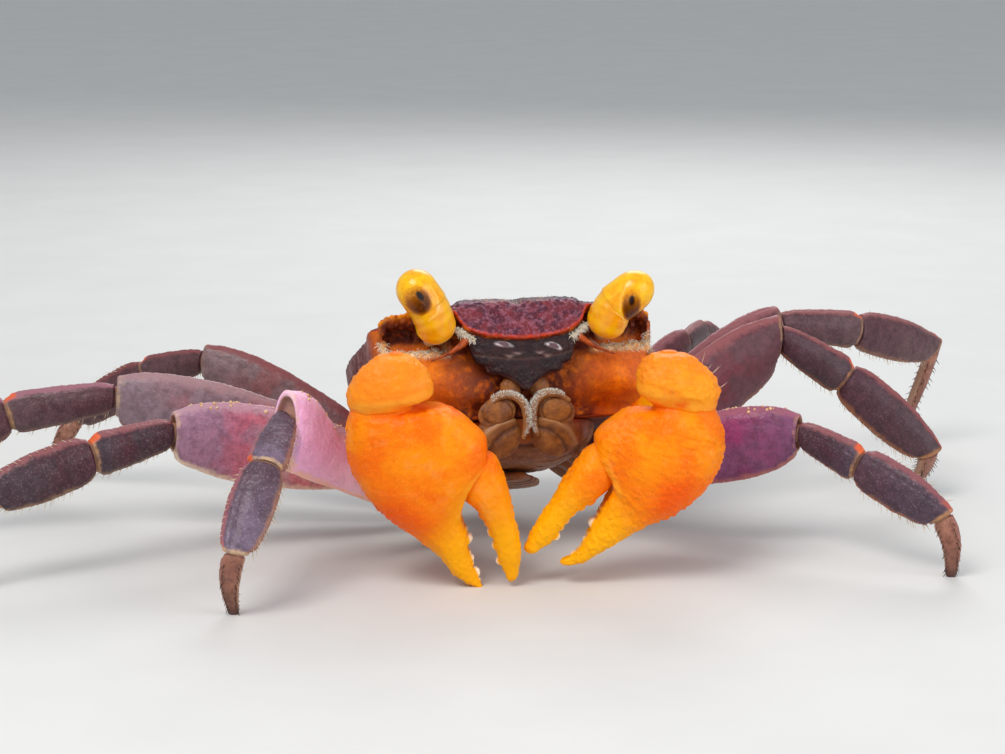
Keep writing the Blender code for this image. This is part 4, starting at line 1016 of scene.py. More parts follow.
def claw_part(name, side_name, rings, head, tail, strength, seed, reach, finish, teeth):
    """A claw piece with grains, creases and teeth; head and tail say how its ends are closed."""
    rows, share = through(rings, CLAW_SPACING)
    places = on_claw(rows, side_name)
    joint = np.exp(-((places[..., 1] + 0.5) / 0.6) ** 2)
    rows = rows - 0.16 * (joint * clouds(rows, 1.1, 41))[..., None] * claw_axes(side_name)[2]
    flat, down = places[..., :2], places[..., 1]
    front = step_up(-0.2, 0.6, places[..., 2])
    turn = 2.0 * np.pi * (np.arange(CLAW_COLS) + 0.5) / CLAW_COLS
    calm = step_up(0.0, 0.03, share)[:, None] * np.ones_like(turn)
    deep = 0.75 * near_line(flat, DEEP_SIDE[side_name], 1.9)
    deep += 0.4 * near_line(flat, DIMPLE[side_name], 0.3) * front
    deep += 0.6 * np.exp(-((down + 0.5) / 0.3) ** 2) * step_up(-0.3, 0.4, clouds(rows, 0.7, 42))
    pale = np.zeros(deep.shape)
    if "knuckle" in name:
        line_across, line_down = np.array(KNUCKLE_BAND[side_name]).T
        drop = down - np.interp(flat[..., 0], line_across, line_down) + 0.12 * clouds(rows, 0.8, 33)
        cap = step_up(0.2, -0.12, drop)
        calm = (0.25 + 0.75 * cap) * step_up(0.0, 0.22, share)[:, None]
        # The knuckle is paler, and more so on its smooth band below the line where it faces forwards: partly
        # its peach colour, partly a painted sheen.
        pale = (0.3 + 0.3 * step_up(0.0, 0.4, drop) * front) * (1.0 - deep.clip(0.0, 1.0))
        rows = swelled(rows, 0.025 * cap * step_up(0.0, 0.15, share)[:, None])
    grain, fine = grains(rows, COARSE_GRAIN, seed), grains(rows, FINE_GRAIN, seed + 1)
    edges = step_up(0.90, 0.985, abs(np.sin(turn)))[None]
    push = strength * (0.04 * grain + 0.02 * fine) + 0.07 * edges * grains(rows, EDGE_GRAIN, seed + 2)
    push += 0.06 * clouds(rows, 1.2, seed, 3) + 0.07 * joint * clouds(rows, 0.45, 43)
    if "palm" in name:
        ridge = near_line(flat, SOCKET_RIDGE[side_name], 0.15) * front
        hollow = near_line(flat, [(x + 0.34, y + 0.06) for x, y in SOCKET_RIDGE[side_name]], 0.16) * front
        push += 0.06 * ridge - 0.05 * hollow
        pale = 0.5 * ridge
    white = np.zeros(deep.shape)
    if teeth:
        across_edge = np.exp(-(abs(turn - 0.5 * np.pi) / 0.36) ** 3)[None]
        bite = tooth_line(down[:, CLAW_COLS // 4], teeth)[:, None] * across_edge
        push = push * (1.0 - across_edge) + bite - 0.16 * across_edge * step_up(0.3, 0.5, share)[:, None]
        white = step_up(0.1, 0.24, bite)
    rows = swelled(rows, push * calm)
    front_end = drawn_in(rows[0], *head)
    far_end = drawn_in(rows[-1], *tail) if tail else rows[:0]
    grid = np.concatenate([front_end, rows, far_end])
    mask = blank_mask(grid)
    body = slice(len(front_end), len(front_end) + len(rows))
    along = reach[0] + (reach[1] - reach[0]) * share
    mask[..., 0] = np.concatenate([np.full(len(front_end), reach[0]), along,
                                   np.full(len(far_end), reach[1])])[:, None]
    mask[body, :, 1] = np.clip(deep, 0.0, 0.9)
    mask[body, :, 2] = pale
    mask[body, :, 3] = 0.9 * white
    shell(name + "_shell", grid, finish, mask, [name])
    return rows


# %% Build the claws
PALM_START = [(0.02, 0.5), (0.6, 0.46), (0.85, 0.34), (0.95, 0.18), (0.99, 0.07)]
KNUCKLE_END = [(0.99, 0.06), (0.95, 0.14), (0.85, 0.24), (0.6, 0.32), (0.02, 0.34)]
FINGER_START = [(0.02, 0.95), (0.5, 0.9), (0.75, 0.72), (0.88, 0.48), (0.95, 0.24), (0.98, 0.08)]
GRAIN_STRENGTH = {"right": 0.8, "left": 1.5}
TOUCHING_TIP = 0.28
claw_rows = {}
for side_name, claw in CLAWS.items():
    wrist, across, down, facing = claw_axes(side_name)
    finish = claw_paint[side_name]
    palm_rings = claw_rings(side_name, PALM[side_name])
    palm_tip = wrist + across * PALM_TIP[side_name][0] + down * PALM_TIP[side_name][1]
    if side_name == "right":
        last = palm_rings[-1]
        sideways = unit((last[CLAW_COLS // 4] - last[3 * CLAW_COLS // 4]) * (1.0, 1.0, 0.0))
        palm_rings.append(oval(palm_tip * (1.0, 1.0, 0.0), unit(facing * (1.0, 1.0, 0.0)) * TOUCHING_TIP,
                               sideways * TOUCHING_TIP, 2.0, CLAW_COLS))
    finger_rings = claw_rings(side_name, FINGER[side_name])
    back = unit(finger_rings[0].mean(axis=0) - finger_rings[1].mean(axis=0))
    finger_tip = wrist + across * FINGER_TIP[side_name][0] + down * FINGER_TIP[side_name][1]
    palm_end = None if side_name == "right" else (palm_tip - palm_rings[-1].mean(axis=0), domed(1.0))
    finger_end = (finger_tip - finger_rings[-1].mean(axis=0), domed(1.0))
    pieces = [
        ("palm", palm_rings, (-down, PALM_START), palm_end, 1.0, (0.0, 1.0), PALM_TEETH[side_name]),
        ("finger", finger_rings, (back, FINGER_START), finger_end, 0.7, (0.42, 1.05),
         FINGER_TEETH[side_name]),
        ("knuckle", claw_rings(side_name, KNUCKLE[side_name], 2.4), (-down, domed(0.12, 6)[::-1]),
         (down, KNUCKLE_END), 1.3, (0.0, 0.1), None),
    ]
    for number, (kind, rings, head, tail, share, reach, teeth) in enumerate(pieces):
        claw_rows[side_name, kind] = claw_part("claw_%s_%s" % (side_name, kind), side_name, rings, head, tail,
                                               GRAIN_STRENGTH[side_name] * share, 21 + 10 * number, reach,
                                               finish, teeth)
    x, y, z = ARM_HIP
    hip = on_body((claw["side"] * x, y, z))
    elbow = np.array(claw["elbow"])
    way = unit(elbow - hip)
    across_arm = unit(np.cross(way, (claw["side"] * 0.5, 0.0, 1.0)))
    up = unit(np.cross(across_arm, way))
    start = hip + way * (0.5 * GAP)
    reach = elbow - way * GAP - start
    rings = [oval(start + reach * s, across_arm * ARM[0] * size, up * ARM[1] * size, 2.4, 70, 0.1)
             for s, size in ARM_SHAPE]
    limb("claw_%s_arm" % side_name, rings, way, way, finish, 0.12, 61, 0.05)
print("claw pieces with grains:", len(claw_rows))

# %% Hairs of the left knuckle
rows = claw_rows["left", "knuckle"]
shares, turns = np.array([0.35, 0.42, 0.52, 0.58, 0.7]), np.array([0.72, 0.8, 0.74, 0.69, 0.77])
roots, ways = standing_on(rows, shares, turns)
bristles("claw_left_knuckle_hairs", roots, ways, [0.7, 0.5, 0.75, 0.6, 0.5], 0.02, fair_bristle,
         np.column_stack([shares, turns]), (0.0, 0.0, 0.1))
print("hairs of the knuckle:", len(roots))

# %% [markdown]
# ## Back shell
# The back shell is one plate: domed on top, folded down at the front as a lobe, cut out for the two
# eyes, and rolled under at the flanks down to the legs. One closed rim line is drawn seen from
# above. Rows climb inwards from it over the back, and others drop down the walls.

# %% Rim and walls of the back shell
# Half of the rim line from the middle of the lobe round to the rear: across, back and up.
RIM = [
    (0.0, -7.55, 1.18), (1.4, -7.53, 1.30), (2.7, -7.43, 1.62), (3.42, -7.27, 2.10), (3.84, -7.05, 2.86),
    (4.5, -6.25, 3.05), (5.3, -5.95, 3.05), (6.4, -5.8, 3.0), (7.25, -5.6, 2.85), (7.85, -5.45, 2.62),
    (7.9, -4.95, 2.35), (8.35, -4.15, 2.3), (8.4, -3.3, 1.95), (8.75, -1.5, 1.5), (8.95, 0.4, 1.2),
    (8.85, 2.4, 0.9), (8.0, 4.4, 0.65), (6.5, 6.0, 0.5), (4.9, 6.95, 0.45), (2.6, 7.3, 0.4),
    (0.0, 7.35, 0.4),
]
# Rows from the rim to the middle: share of the rim's reach, and how much of the rim's height is kept
# at the front and at the sides.
CLIMB = [(0.985, 0.86, 0.9), (0.955, 0.62, 0.74), (0.915, 0.36, 0.6), (0.865, 0.14, 0.47), (0.79, 0.07, 0.33),
         (0.68, 0.03, 0.2), (0.54, 0.0, 0.09), (0.38, 0.0, 0.03), (0.2, 0.0, 0.0), (0.04, 0.0, 0.0)]
BACK_Z = 4.0
SPLIT_Z = -3.2
# Inset and drop under the lobe's rim, then depth and height of the rows that line the eye sockets.
LOBE_WALL = [(0.10, -0.22), (0.45, -0.34), (0.95, -0.42), (1.20, -0.46)]
SOCKET_WALL = [(-5.80, 2.70), (-5.65, 2.38), (-4.85, 2.20), (-4.75, 1.05), (-5.35, 0.80)]
FRONT_LEVELS = [0.45, -0.1, -0.9, -1.8, -2.7, SPLIT_Z]
FLANK_SHARES = [0.06, 0.12, 0.19, 0.26, 0.34, 0.42, 0.52, 0.63, 0.76, 0.89, 1.0]
FLANK_INSETS = [0.0, 0.02, 0.05, 0.10, 0.14, 0.20, 0.36, 0.64, 1.16, 2.00, 2.75]
MIDDLE = np.array((0.0, -0.4))
RIM_POINTS = 600
SHELL_SPACING = 0.08
print("rim points drawn:", len(RIM), "levels of the walls:", len(FLANK_SHARES))


# %% Heights and walls
def back_height(x, y):
    """Height of the back, with its low lobes and grooves."""
    dome = BACK_Z - 0.03 * np.maximum(0.0, abs(x) - 2.2) ** 2 - 0.02 * (y + 2.2) ** 2
    dome = dome - 0.9 * step_up(2.0, 8.0, y)
    groove = 0.28 * np.exp(-((abs(x) - 3.2 + 0.15 * y) / 0.55) ** 2)
    groove = groove * step_up(-5.5, -3.0, y) * step_up(5.5, 2.5, y)
    notch = 0.22 * np.exp(-(x / 0.45) ** 2) * step_up(-3.5, -5.5, y)
    cross = 0.25 * np.exp(-((y - 0.6 - 0.12 * abs(x)) / 0.5) ** 2) * step_up(4.2, 2.0, abs(x))
    return dome - groove - notch - cross


def round_line(points, count, crowd):
    """A smooth closed line through points; crowd says how close together its steps are wanted."""
    wrapped = np.concatenate([points[-2:], points, points[:3]])
    rows = through(wrapped[:, None], 0.02)[0][:, 0]
    step = np.linalg.norm(np.diff(rows, axis=0), axis=1)
    begin, end = (np.linalg.norm(rows - wrapped[k], axis=1) for k in (2, 2 + len(points)))
    begin, end = begin[:len(rows) // 2].argmin(), len(rows) // 2 + end[len(rows) // 2:].argmin()
    worth = np.concatenate([[0.0], np.cumsum((step * crowd(rows[:-1]))[begin:end])])
    targets = np.linspace(0.0, worth[-1], count, endpoint=False)
    return np.stack([np.interp(targets, worth, rows[begin:end + 1, k]) for k in range(3)], axis=-1)


def face_y(x, z):
    """How far forward the front wall stands: full cheeks beside the mouth, drawn in below."""
    cheek = 0.38 * np.exp(-((abs(x) - 5.3) / 2.0) ** 2 - ((z + 0.9) / 1.6) ** 2)
    drawn = (0.5 + 0.8 * step_up(3.6, 5.2, abs(x))) * step_up(-1.5, -3.0, z)
    return -6.12 - cheek + drawn + 0.25 * step_up(6.2, 8.2, abs(x))


def wall(p, level):
    """The rim line dropped to one level of the walls, for lobe, eye sockets and flanks."""
    x, y, z = p.T
    front = step_up(-5.1, -5.5, y)
    lobe = step_up(4.55, 4.0, abs(x)) * (step_up(-6.2, -6.9, y) if level < len(SOCKET_WALL) else front)
    socket = front * step_up(4.0, 4.55, abs(x)) * step_up(8.0, 7.4, abs(x))
    flank = np.maximum(0.0, 1.0 - lobe - socket)
    if level < len(LOBE_WALL):
        inset, rise = LOBE_WALL[level]
        on_lobe = np.column_stack([x, y + inset, z + rise])
    else:
        start = z + LOBE_WALL[-1][1]
        on_lobe = np.column_stack([x, face_y(x, start), 0.5 * (start + FRONT_LEVELS[0])])
    if level < len(SOCKET_WALL):
        depth, rise = SOCKET_WALL[level]
        on_socket = np.column_stack([x, np.full(len(p), depth), np.full(len(p), rise)])
    else:
        low = np.full(len(p), FRONT_LEVELS[level - len(SOCKET_WALL)])
        on_lobe = on_socket = np.column_stack([x, face_y(x, low), low])
    share, inset = FLANK_SHARES[level], FLANK_INSETS[level]
    inward = np.column_stack([-x, -y * 0.35, 0.0 * x])
    back = step_up(5.0, 7.0, y)[:, None]
    inward = inward * (1.0 - back) + np.column_stack([-0.3 * x, -y, 0.0 * x]) * back
    inward = np.where(y[:, None] < -5.0, np.column_stack([-0.6 * x, np.ones(len(p)), 0.0 * x]), inward)
    shrink = 1.0 - 0.55 * step_up(4.0, 7.2, y)
    on_flank = p + unit(inward) * (inset * shrink)[:, None]
    on_flank[:, 2] = z + (SPLIT_Z - z) * share
    total = (lobe + socket + flank)[:, None]
    return (on_lobe * lobe[:, None] + on_socket * socket[:, None] + on_flank * flank[:, None]) / total


# %% Back shell mesh
half = np.array(RIM)
rim = round_line(np.concatenate([half, half[-2:0:-1] * (-1.0, 1.0, 1.0)]), RIM_POINTS,
                 lambda p: 1.0 + 1.2 * step_up(-4.5, -5.5, p[:, 1]))
levels = [wall(rim, level) for level in reversed(range(len(FLANK_SHARES)))] + [rim]
front = step_up(-6.4, -7.0, rim[:, 1])
for share, left_front, left_side in CLIMB:
    x = MIDDLE[0] + (rim[:, 0] - MIDDLE[0]) * share
    y = MIDDLE[1] + (rim[:, 1] - MIDDLE[1]) * share
    keep = left_front * front + left_side * (1.0 - front)
    levels.append(np.column_stack([x, y, rim[:, 2] * keep + back_height(x, y) * (1.0 - keep)]))
rows, share = through(np.array(levels), SHELL_SPACING)
rim_row = int(np.argmin(np.linalg.norm(rows - rim[None], axis=2).sum(axis=1)))
steps = np.linalg.norm(np.diff(rows, axis=0), axis=2)
from_rim = np.concatenate([np.zeros((1, rows.shape[1])), np.cumsum(steps, axis=0)])
from_rim -= from_rim[rim_row]
print("back shell rows", rows.shape, "rim at row", rim_row)

# %% Relief of the back shell
x, y, z = (rows[..., k] for k in range(3))
above = step_up(-0.05, 0.05, from_rim)
lobe = step_up(-6.15, -6.5, y) * step_up(4.5, 4.2, abs(x)) * above
crest = np.exp(-((from_rim - 2.9) / 0.5) ** 2) * step_up(-5.2, -6.0, y) * step_up(4.6, 3.8, abs(x))
edge = np.exp(-(from_rim / 0.13) ** 2)
front_wall = (1.0 - above) * step_up(-4.9, -5.4, y) * step_up(0.55, 0.35, z)
grain = grains(rows, 0.22, 3)
coarse = grains(rows, 0.42, 4)
push = above * (0.035 * grain + 0.04 * coarse + 0.06 * clouds(rows, 1.6, 5, 3))
push += lobe * (0.03 * grains(rows, 0.16, 10) + 0.03 * clouds(rows, 0.5, 6))
push += (1.0 - above) * (0.02 * grains(rows, 0.2, 7) + 0.05 * clouds(rows, 0.9, 8, 3))
saw = grains(rows, 0.2, 9)
push += edge * (0.02 + 0.07 * saw) * step_up(-4.0, -5.4, y)
band = (1.0 - above) * step_up(-4.9, -5.35, y) * step_up(3.9, 4.6, abs(x)) * step_up(8.3, 7.9, abs(x))
band = band * step_up(0.15, 0.5, z) * step_up(1.65, 1.4, z)
push += band * (0.16 * grains(rows, 0.6, 30) + 0.07 * grains(rows, 0.25, 31))
inside = (1.0 - above) * step_up(1.2, 1.6, z) * step_up(-6.3, -5.6, y) * step_up(8.1, 7.7, abs(x))
push += inside * (0.16 * grains(rows, 0.45, 32) + 0.12 * clouds(rows, 0.8, 34))
rows = swelled(rows, push * step_up(0.0, 0.04, share)[:, None])
print("relief of the back shell in mm, up to", round(float(push.max()), 2))

# %% [markdown]
# ## Colours of the back shell
# Back, lobe, eye sockets, ridge and cheeks are one mesh, so its finish has to know which part it is
# on. Three sets of soft masks with four values each are stored on its points, and each colour is laid
# over the others through one of them. Separate pieces would show seams that the real shell has not.

# %% Where the back shell changes colour
# The lobe, all above the rim, and the red line of the rim.
mask = blank_mask(rows)
mask[..., 0] = lobe
mask[..., 1] = above
mask[..., 2] = np.exp(-(from_rim / 0.08) ** 2) * step_up(-3.5, -5.4, y) * (0.5 + 0.5 * saw)
# The eye sockets, the cream ridge under them, the front of the walls, and the rear of the back.
zone = blank_mask(rows)
zone[..., 0] = inside * step_up(3.9, 4.4, abs(x))
zone[..., 1] = band
zone[..., 2] = step_up(-3.0, -5.3, y) * (1.0 - above) * step_up(8.6, 7.8, abs(x) - 0.2 * z)
zone[..., 3] = step_up(0.5, 3.0, y) * above
# The dark seam of the cheeks, the lobe's crest, the painted shade beside the mouth, low on the
# front wall and under the lobe's rim, and the brow's edge.
trait = blank_mask(rows)
trait[..., 0] = front_wall * np.exp(-((z - 0.1 - 0.06 * abs(x)) / 0.14) ** 2) * step_up(3.2, 4.0, abs(x))
trait[..., 1] = crest
trait[..., 2] = front_wall * (np.exp(-(abs(x) / 4.3) ** 4) + 0.5 * step_up(-2.1, -3.1, z)).clip(0.0, 1.0)
# Painted shadow on the wall under the lobe's rim.
trait[..., 2] += (1.0 - above) * step_up(0.35, 0.55, z) * step_up(4.5, 4.1, abs(x)) * step_up(-4.9, -5.4, y)
trait[..., 3] = np.exp(-((from_rim + 0.05) / 0.16) ** 2) * step_up(5.2, 6.0, abs(x)) * step_up(-5.0, -5.4, y)
shell_rows, shell_band, shell_crest = rows, band, crest * above
print("masks of the back shell:", mask.shape, zone.shape, trait.shape)

# %% Back shell finish
shell_finish, tree, shader, where, marks = new_finish("back_shell_grained", 0.46, coat=0.06, glow=0.04,
                                                      glow_size=0.4)
shader.inputs["Specular IOR Level"].default_value = 0.22
parts = {}
for layer_name in ("zone", "trait"):
    area = put(tree, "ShaderNodeAttribute", attribute_name=layer_name)
    split = put(tree, "ShaderNodeSeparateColor", {"Color": area.outputs["Color"]})
    parts[layer_name] = list(split.outputs) + [area.outputs["Alpha"]]
in_socket, cream, facing, rear = parts["zone"]
seam, crest, beside, brow = parts["trait"]
back = mottled(tree, where, 1.8, 0.36, 0.62, (52, 28, 44), (92, 44, 58))
# Pale violet specks: partly paler grain tops, partly painted glints.
back = speckled(tree, where, 0.24, 0.3, 0.1, back, (138, 96, 124), 0.5)
pale = times(tree, ramp(tree, noise(tree, where, 1.0, 4.0, 0.65), 0.3, 0.7), rear)
back = blended(tree, times(tree, pale, 0.45), back, (168, 130, 112))
plate = mottled(tree, where, 0.8, 0.38, 0.6, (116, 42, 50), (72, 32, 48), detail=4.0)
# Mauve clouds on the lobe are partly painted highlights, and its pale pink specks are painted glints.
plate = mottled(tree, where, 0.3, 0.45, 0.66, plate, (158, 96, 116), 0.7, 4.0, 0.7)
plate = speckled(tree, where, 0.16, 0.2, 0.06, plate, (184, 130, 160), 0.5)
fringe = ramp(tree, noise(tree, where, 0.35, 4.0, 0.7), 0.42, 0.6, 0.0, 0.8)
fringe = times(tree, fringe, ramp(tree, marks["along"], 1.0, 0.75))
plate = blended(tree, fringe, plate, (190, 142, 176))
base = blended(tree, marks["along"], back, plate)
spots = ramp(tree, cells(tree, where, 0.4), 0.28, 0.16)
base = blended(tree, times(tree, times(tree, crest, spots), 0.8), base, (214, 130, 76))
side = mottled(tree, where, 1.4, 0.36, 0.62, (238, 124, 2), (206, 92, 2), detail=4.0)
side = mottled(tree, where, 0.22, 0.45, 0.66, side, (150, 62, 6), 0.35, 4.0, 0.7)
# Painted shade beside the mouth, low on the front wall and under the lobe's rim.
shaded = times(tree, beside, ramp(tree, noise(tree, where, 0.5), 0.3, 0.55, 0.35, 1.0))
side = blended(tree, shaded, side, (96, 32, 14))
side = blended(tree, times(tree, seam, 0.7), side, (84, 26, 12))
outer = mottled(tree, where, 0.7, 0.35, 0.65, (92, 46, 46), (140, 96, 96))
low = blended(tree, facing, outer, side)
peach = mottled(tree, where, 0.5, 0.36, 0.6, (244, 204, 146), (232, 158, 84), 1.0, 4.0, 0.7)
peach = mottled(tree, where, 0.16, 0.5, 0.7, peach, (246, 232, 206), 0.8)
low = blended(tree, cream, low, peach)
hollow = mottled(tree, where, 0.4, 0.45, 0.66, (80, 26, 16), (150, 70, 24), 1.0, 4.0, 0.7)
low = blended(tree, in_socket, low, hollow)
base = blended(tree, marks["height"], low, base)
base = blended(tree, marks["skin"], base, (204, 52, 12))
browed = times(tree, brow, ramp(tree, noise(tree, where, 0.4), 0.3, 0.5))
base = blended(tree, browed, base, (236, 140, 10))
tree.links.new(base, shader.inputs["Base Color"])
roughen(tree, shader, plus(tree, noise(tree, where, 0.1), cells(tree, where, 0.12)), 0.03, 0.6)

# %% The back shell in its finish
piece = shell("back_shell_plate", on_body(rows), shell_finish, mask, ["back_shell"])
for layer_name, values in (("zone", zone), ("trait", trait)):
    layer = piece.data.attributes.new(layer_name, "FLOAT_COLOR", "POINT")
    full = np.concatenate([values.reshape(-1, 4), values[:1].mean(axis=1), values[-1:].mean(axis=1)])
    layer.data.foreach_set("color", full.astype(np.float32).ravel())
print("back shell points:", len(piece.data.vertices))

# %% [markdown]
# ## Eyes
# Each eye leans out from its socket on a soft, finely folded stalk. Its front carries a dark patch
# with a darker spot in it, the false pupil, and a thin pale seam runs beside the patch. The stalk is
# one surface through its sections, and the eye is a capsule on its end. Patch, pupil and seam are
# drawn as the picture sees them and laid on the surface as soft masks.

# %% Sizes of eyes and stalks
# Centre, radius and facing of each section of a stalk.
STALK = [
    ((5.05, -5.12, 1.52), 0.36, (-0.05, -1.0, 0.05)), ((4.98, -6.15, 1.58), 0.50, (0.0, -1.0, 0.20)),
    ((4.92, -6.98, 1.78), 0.96, (0.25, -0.75, 0.60)), ((5.18, -7.45, 2.40), 1.10, (0.48, -0.32, 0.81)),
    ((5.50, -7.66, 2.90), 1.10, (0.51, -0.30, 0.80)),
]
STALK_RISE = {"right": 0.35, "left": -0.05}
EYE_TIP = {"right": (6.75, -8.36, 4.92), "left": (7.38, -8.75, 4.08)}
EYE_RADIUS = 1.12
# Seen from the front, at a depth: lower and upper end of the dark patch, its half width, the pupil,
# and the pale seam beside it.
GAZE = {
    "right": (-8.9, (-5.7, 2.5), (-6.86, 4.2), 0.84, (-6.06, 3.5),
              [(-5.5, 4.1), (-5.32, 3.84), (-5.08, 3.34), (-5.04, 2.84), (-5.2, 2.42), (-5.68, 2.08)]),
    "left": (-9.3, (5.84, 1.5), (6.16, 3.6), 0.62, (6.02, 2.72),
             [(6.0, 3.9), (5.74, 3.56), (5.38, 2.86), (5.3, 2.14), (5.55, 1.5)]),
}
EYE_COVER = 0.06       # the finished eye stands this far outside its solid
EYE_STRAIGHT = 0.34    # share of the eye's rows before its round end
SEAM_WIDTH = 0.035
UPRIGHT = (0.0, 0.35, 1.0)
print("sections of a stalk:", len(STALK), "radius of an eye in mm:", EYE_RADIUS)

# %% Finishes of eyes and stalks
eye_finish, tree, shader, where, marks = new_finish("eye_glassy", 0.3, coat=0.25, glow=0.2, glow_size=0.4)
shader.inputs["Coat Roughness"].default_value = 0.06
gold = mottled(tree, where, 0.9, 0.35, 0.7, (254, 196, 4), (246, 162, 2))
gold = mottled(tree, where, 0.2, 0.5, 0.75, gold, (222, 118, 2), 0.5, 4.0, 0.7)
amber = blended(tree, ramp(tree, marks["along"], 0.3, 0.9), (206, 124, 4), (66, 26, 2))
amber = mottled(tree, where, 0.11, 0.48, 0.66, amber, (150, 80, 2), 0.6, 4.0, 0.7)
patch = wavy(tree, where, marks["along"], 0.12, 0.7, 4.0, 0.7)
gold = blended(tree, ramp(tree, patch, 0.56, 0.98), gold, amber)
gold = blended(tree, marks["height"], gold, (250, 222, 120))
gold = blended(tree, marks["skin"], gold, (18, 10, 12))
tree.links.new(gold, shader.inputs["Base Color"])

stalk_finish, tree, shader, where, marks = new_finish("eye_stalk_soft", 0.3, coat=0.35, glow=0.25)
gold = mottled(tree, where, 0.8, 0.35, 0.65, (250, 186, 8), (242, 160, 6))
gold = mottled(tree, where, 0.2, 0.55, 0.75, gold, (250, 214, 96), 0.4)
gold = blended(tree, marks["height"], gold, (250, 222, 130))
gold = blended(tree, marks["skin"], gold, (228, 206, 170))
tree.links.new(gold, shader.inputs["Base Color"])
roughen(tree, shader, noise(tree, where, 0.15), 0.03, 0.5)
print("finishes:", eye_finish.name, stalk_finish.name)


# %% Build the eyes
def seen(points, depth):
    """Across and up of points as the picture sees them, brought to one depth of the body."""
    back = points[..., 1] - depth
    return np.stack([points[..., 0] - 0.21 * back, points[..., 2] - 0.14 * back], axis=-1)


for side_name, side in SIDES:
    mirror = np.array((side, 1.0, 1.0))
    rise = STALK_RISE[side_name]
    tip = np.array(EYE_TIP[side_name]) * mirror
    start = (np.array(STALK[-1][0]) + (0.0, 0.0, rise)) * mirror
    way = unit(tip - start)
    rings = []
    for number, (centre, radius, facing) in enumerate(STALK):
        face = way if number == len(STALK) - 1 else unit(np.array(facing) * mirror)
        across_eye = unit(np.cross(face, UPRIGHT))
        middle = (np.array(centre) + (0.0, 0.0, rise * max(0.0, (number - 1) / 3.0))) * mirror
        radius = radius + (0.14 if number == 2 else EYE_COVER if number > 2 else 0.0)
        rings.append(oval(middle, across_eye * radius, np.cross(across_eye, face) * radius, 2.0, 90))
    rows, share = through(rings, 0.06)
    folds = 0.012 * np.sin(share * 45.0) * step_up(0.5, 0.6, share) * step_up(0.95, 0.8, share)
    rows = swelled(rows, folds[:, None] + 0.02 * clouds(rows, 0.5, 3))
    rim_end = drawn_in(rows[-1], way, [(0.98, 0.02), (0.94, 0.03), (0.5, 0.03), (0.02, 0.03)])
    grid = np.concatenate([rows, rim_end])
    depth, low, high, width, pupil, seam = GAZE[side_name]
    mask = blank_mask(grid)
    mask[..., 1] = 0.6 * near_line(seen(grid, depth), seam, SEAM_WIDTH)
    mask[:len(rows), :, 2] = step_up(0.55, 0.35, share)[:, None]
    shell("eye_stalk_%s_soft" % side_name, on_body(grid), stalk_finish, mask,
          ["eye_stalk_" + side_name])
    start = start - way * 0.12
    rest = np.linalg.norm(tip - start)
    across_eye = unit(np.cross(way, UPRIGHT))
    up = np.cross(across_eye, way)
    rows = []
    for s in np.linspace(0.0, 1.0, 70):
        turn = 0.5 * np.pi * max(0.0, (s - EYE_STRAIGHT) / (1.0 - EYE_STRAIGHT))
        radius = (EYE_RADIUS + EYE_COVER) * max(0.015, math.cos(turn))
        reach = rest * (0.46 * min(1.0, s / EYE_STRAIGHT) + 0.54 * math.sin(turn))
        rows.append(oval(start + way * reach, across_eye * radius, up * radius, 2.0, 110))
    rows = np.array(rows)
    flat = seen(rows, depth)
    fore = step_up(0.0, -0.3, rows[..., 1] - rows.mean(axis=1)[:, None, 1])
    low, high = np.array(low), np.array(high)
    long = np.linalg.norm(high - low)
    u = (flat - 0.5 * (low + high)) @ (high - low) / (0.5 * long ** 2)
    aside = np.array((high[1] - low[1], low[0] - high[0]))
    v = (flat - low) @ aside / long
    reach = np.sqrt(u ** 2 + (v / width) ** 2)
    mask = blank_mask(rows)
    mask[..., 0] = step_up(1.3, 0.6, reach) * np.clip(0.66 - 0.4 * u, 0.0, 1.0) * fore
    mask[..., 1] = 0.6 * near_line(flat, seam, SEAM_WIDTH) * fore
    spot = np.sqrt(((flat - pupil) @ unit(high - low) / 0.3) ** 2
                   + ((flat - pupil) @ unit(aside) / 0.17) ** 2)
    mask[..., 2] = step_up(1.25, 0.75, spot) * fore
    shell("eye_%s_glassy" % side_name, on_body(rows), eye_finish, mask, ["eye_" + side_name])
print("eyes built, radius with cover:", EYE_RADIUS + EYE_COVER)

# %% [markdown]
# ## Mouth field, feelers and the plate under the lobe
# Under the front lobe lies a dark plate with the folded small feelers as two ovals with white rims,
# the rims partly painted highlights, and its lower edge steps down to a point. Below it the two
# outermost mouth limbs close the mouth: each has a broad leaf, a round disc and a curved feeler with a
# pale fringe. The plate is drawn as a relief, because its marks are lower than a grain; the limbs are
# bent leaves and a bent tube.

# %% Plate under the lobe
# Height and half width of the plate.
PLATE = [(1.30, 3.15), (0.95, 3.25), (0.55, 3.2), (0.2, 3.02), (-0.1, 2.86), (-0.3, 2.72), (-0.42, 2.3),
         (-0.75, 2.16), (-0.86, 1.5), (-1.1, 1.0), (-1.45, 0.55), (-1.8, 0.14)]
PLATE_COLS = 180
plate_levels, plate_widths = [-z for z, w in PLATE], [w for z, w in PLATE]
heights = np.linspace(PLATE[0][0], PLATE[-1][0], 64)
widths = np.interp(-heights, plate_levels, plate_widths)
turn = 2.0 * np.pi * (np.arange(PLATE_COLS) + 0.5) / PLATE_COLS
grid = np.empty((len(heights), PLATE_COLS, 3))
for row, (z, width) in enumerate(zip(heights, widths)):
    c, s = np.cos(turn), np.sin(turn)
    x = width * np.sign(c) * abs(c) ** 0.7
    body = abs(s) ** 0.5
    deep = 0.52 - 0.1 * step_up(0.4, 1.3, z)
    grid[row] = np.column_stack([x, -7.0 - np.sign(s) * body * deep + 0.02 * x ** 2,
                                 z + 0.05 * x ** 2 * step_up(-0.9, 0.9, z)])
x, y, z = (grid[..., k] for k in range(3))
ahead = step_up(-6.9, -7.25, y)
hook = []
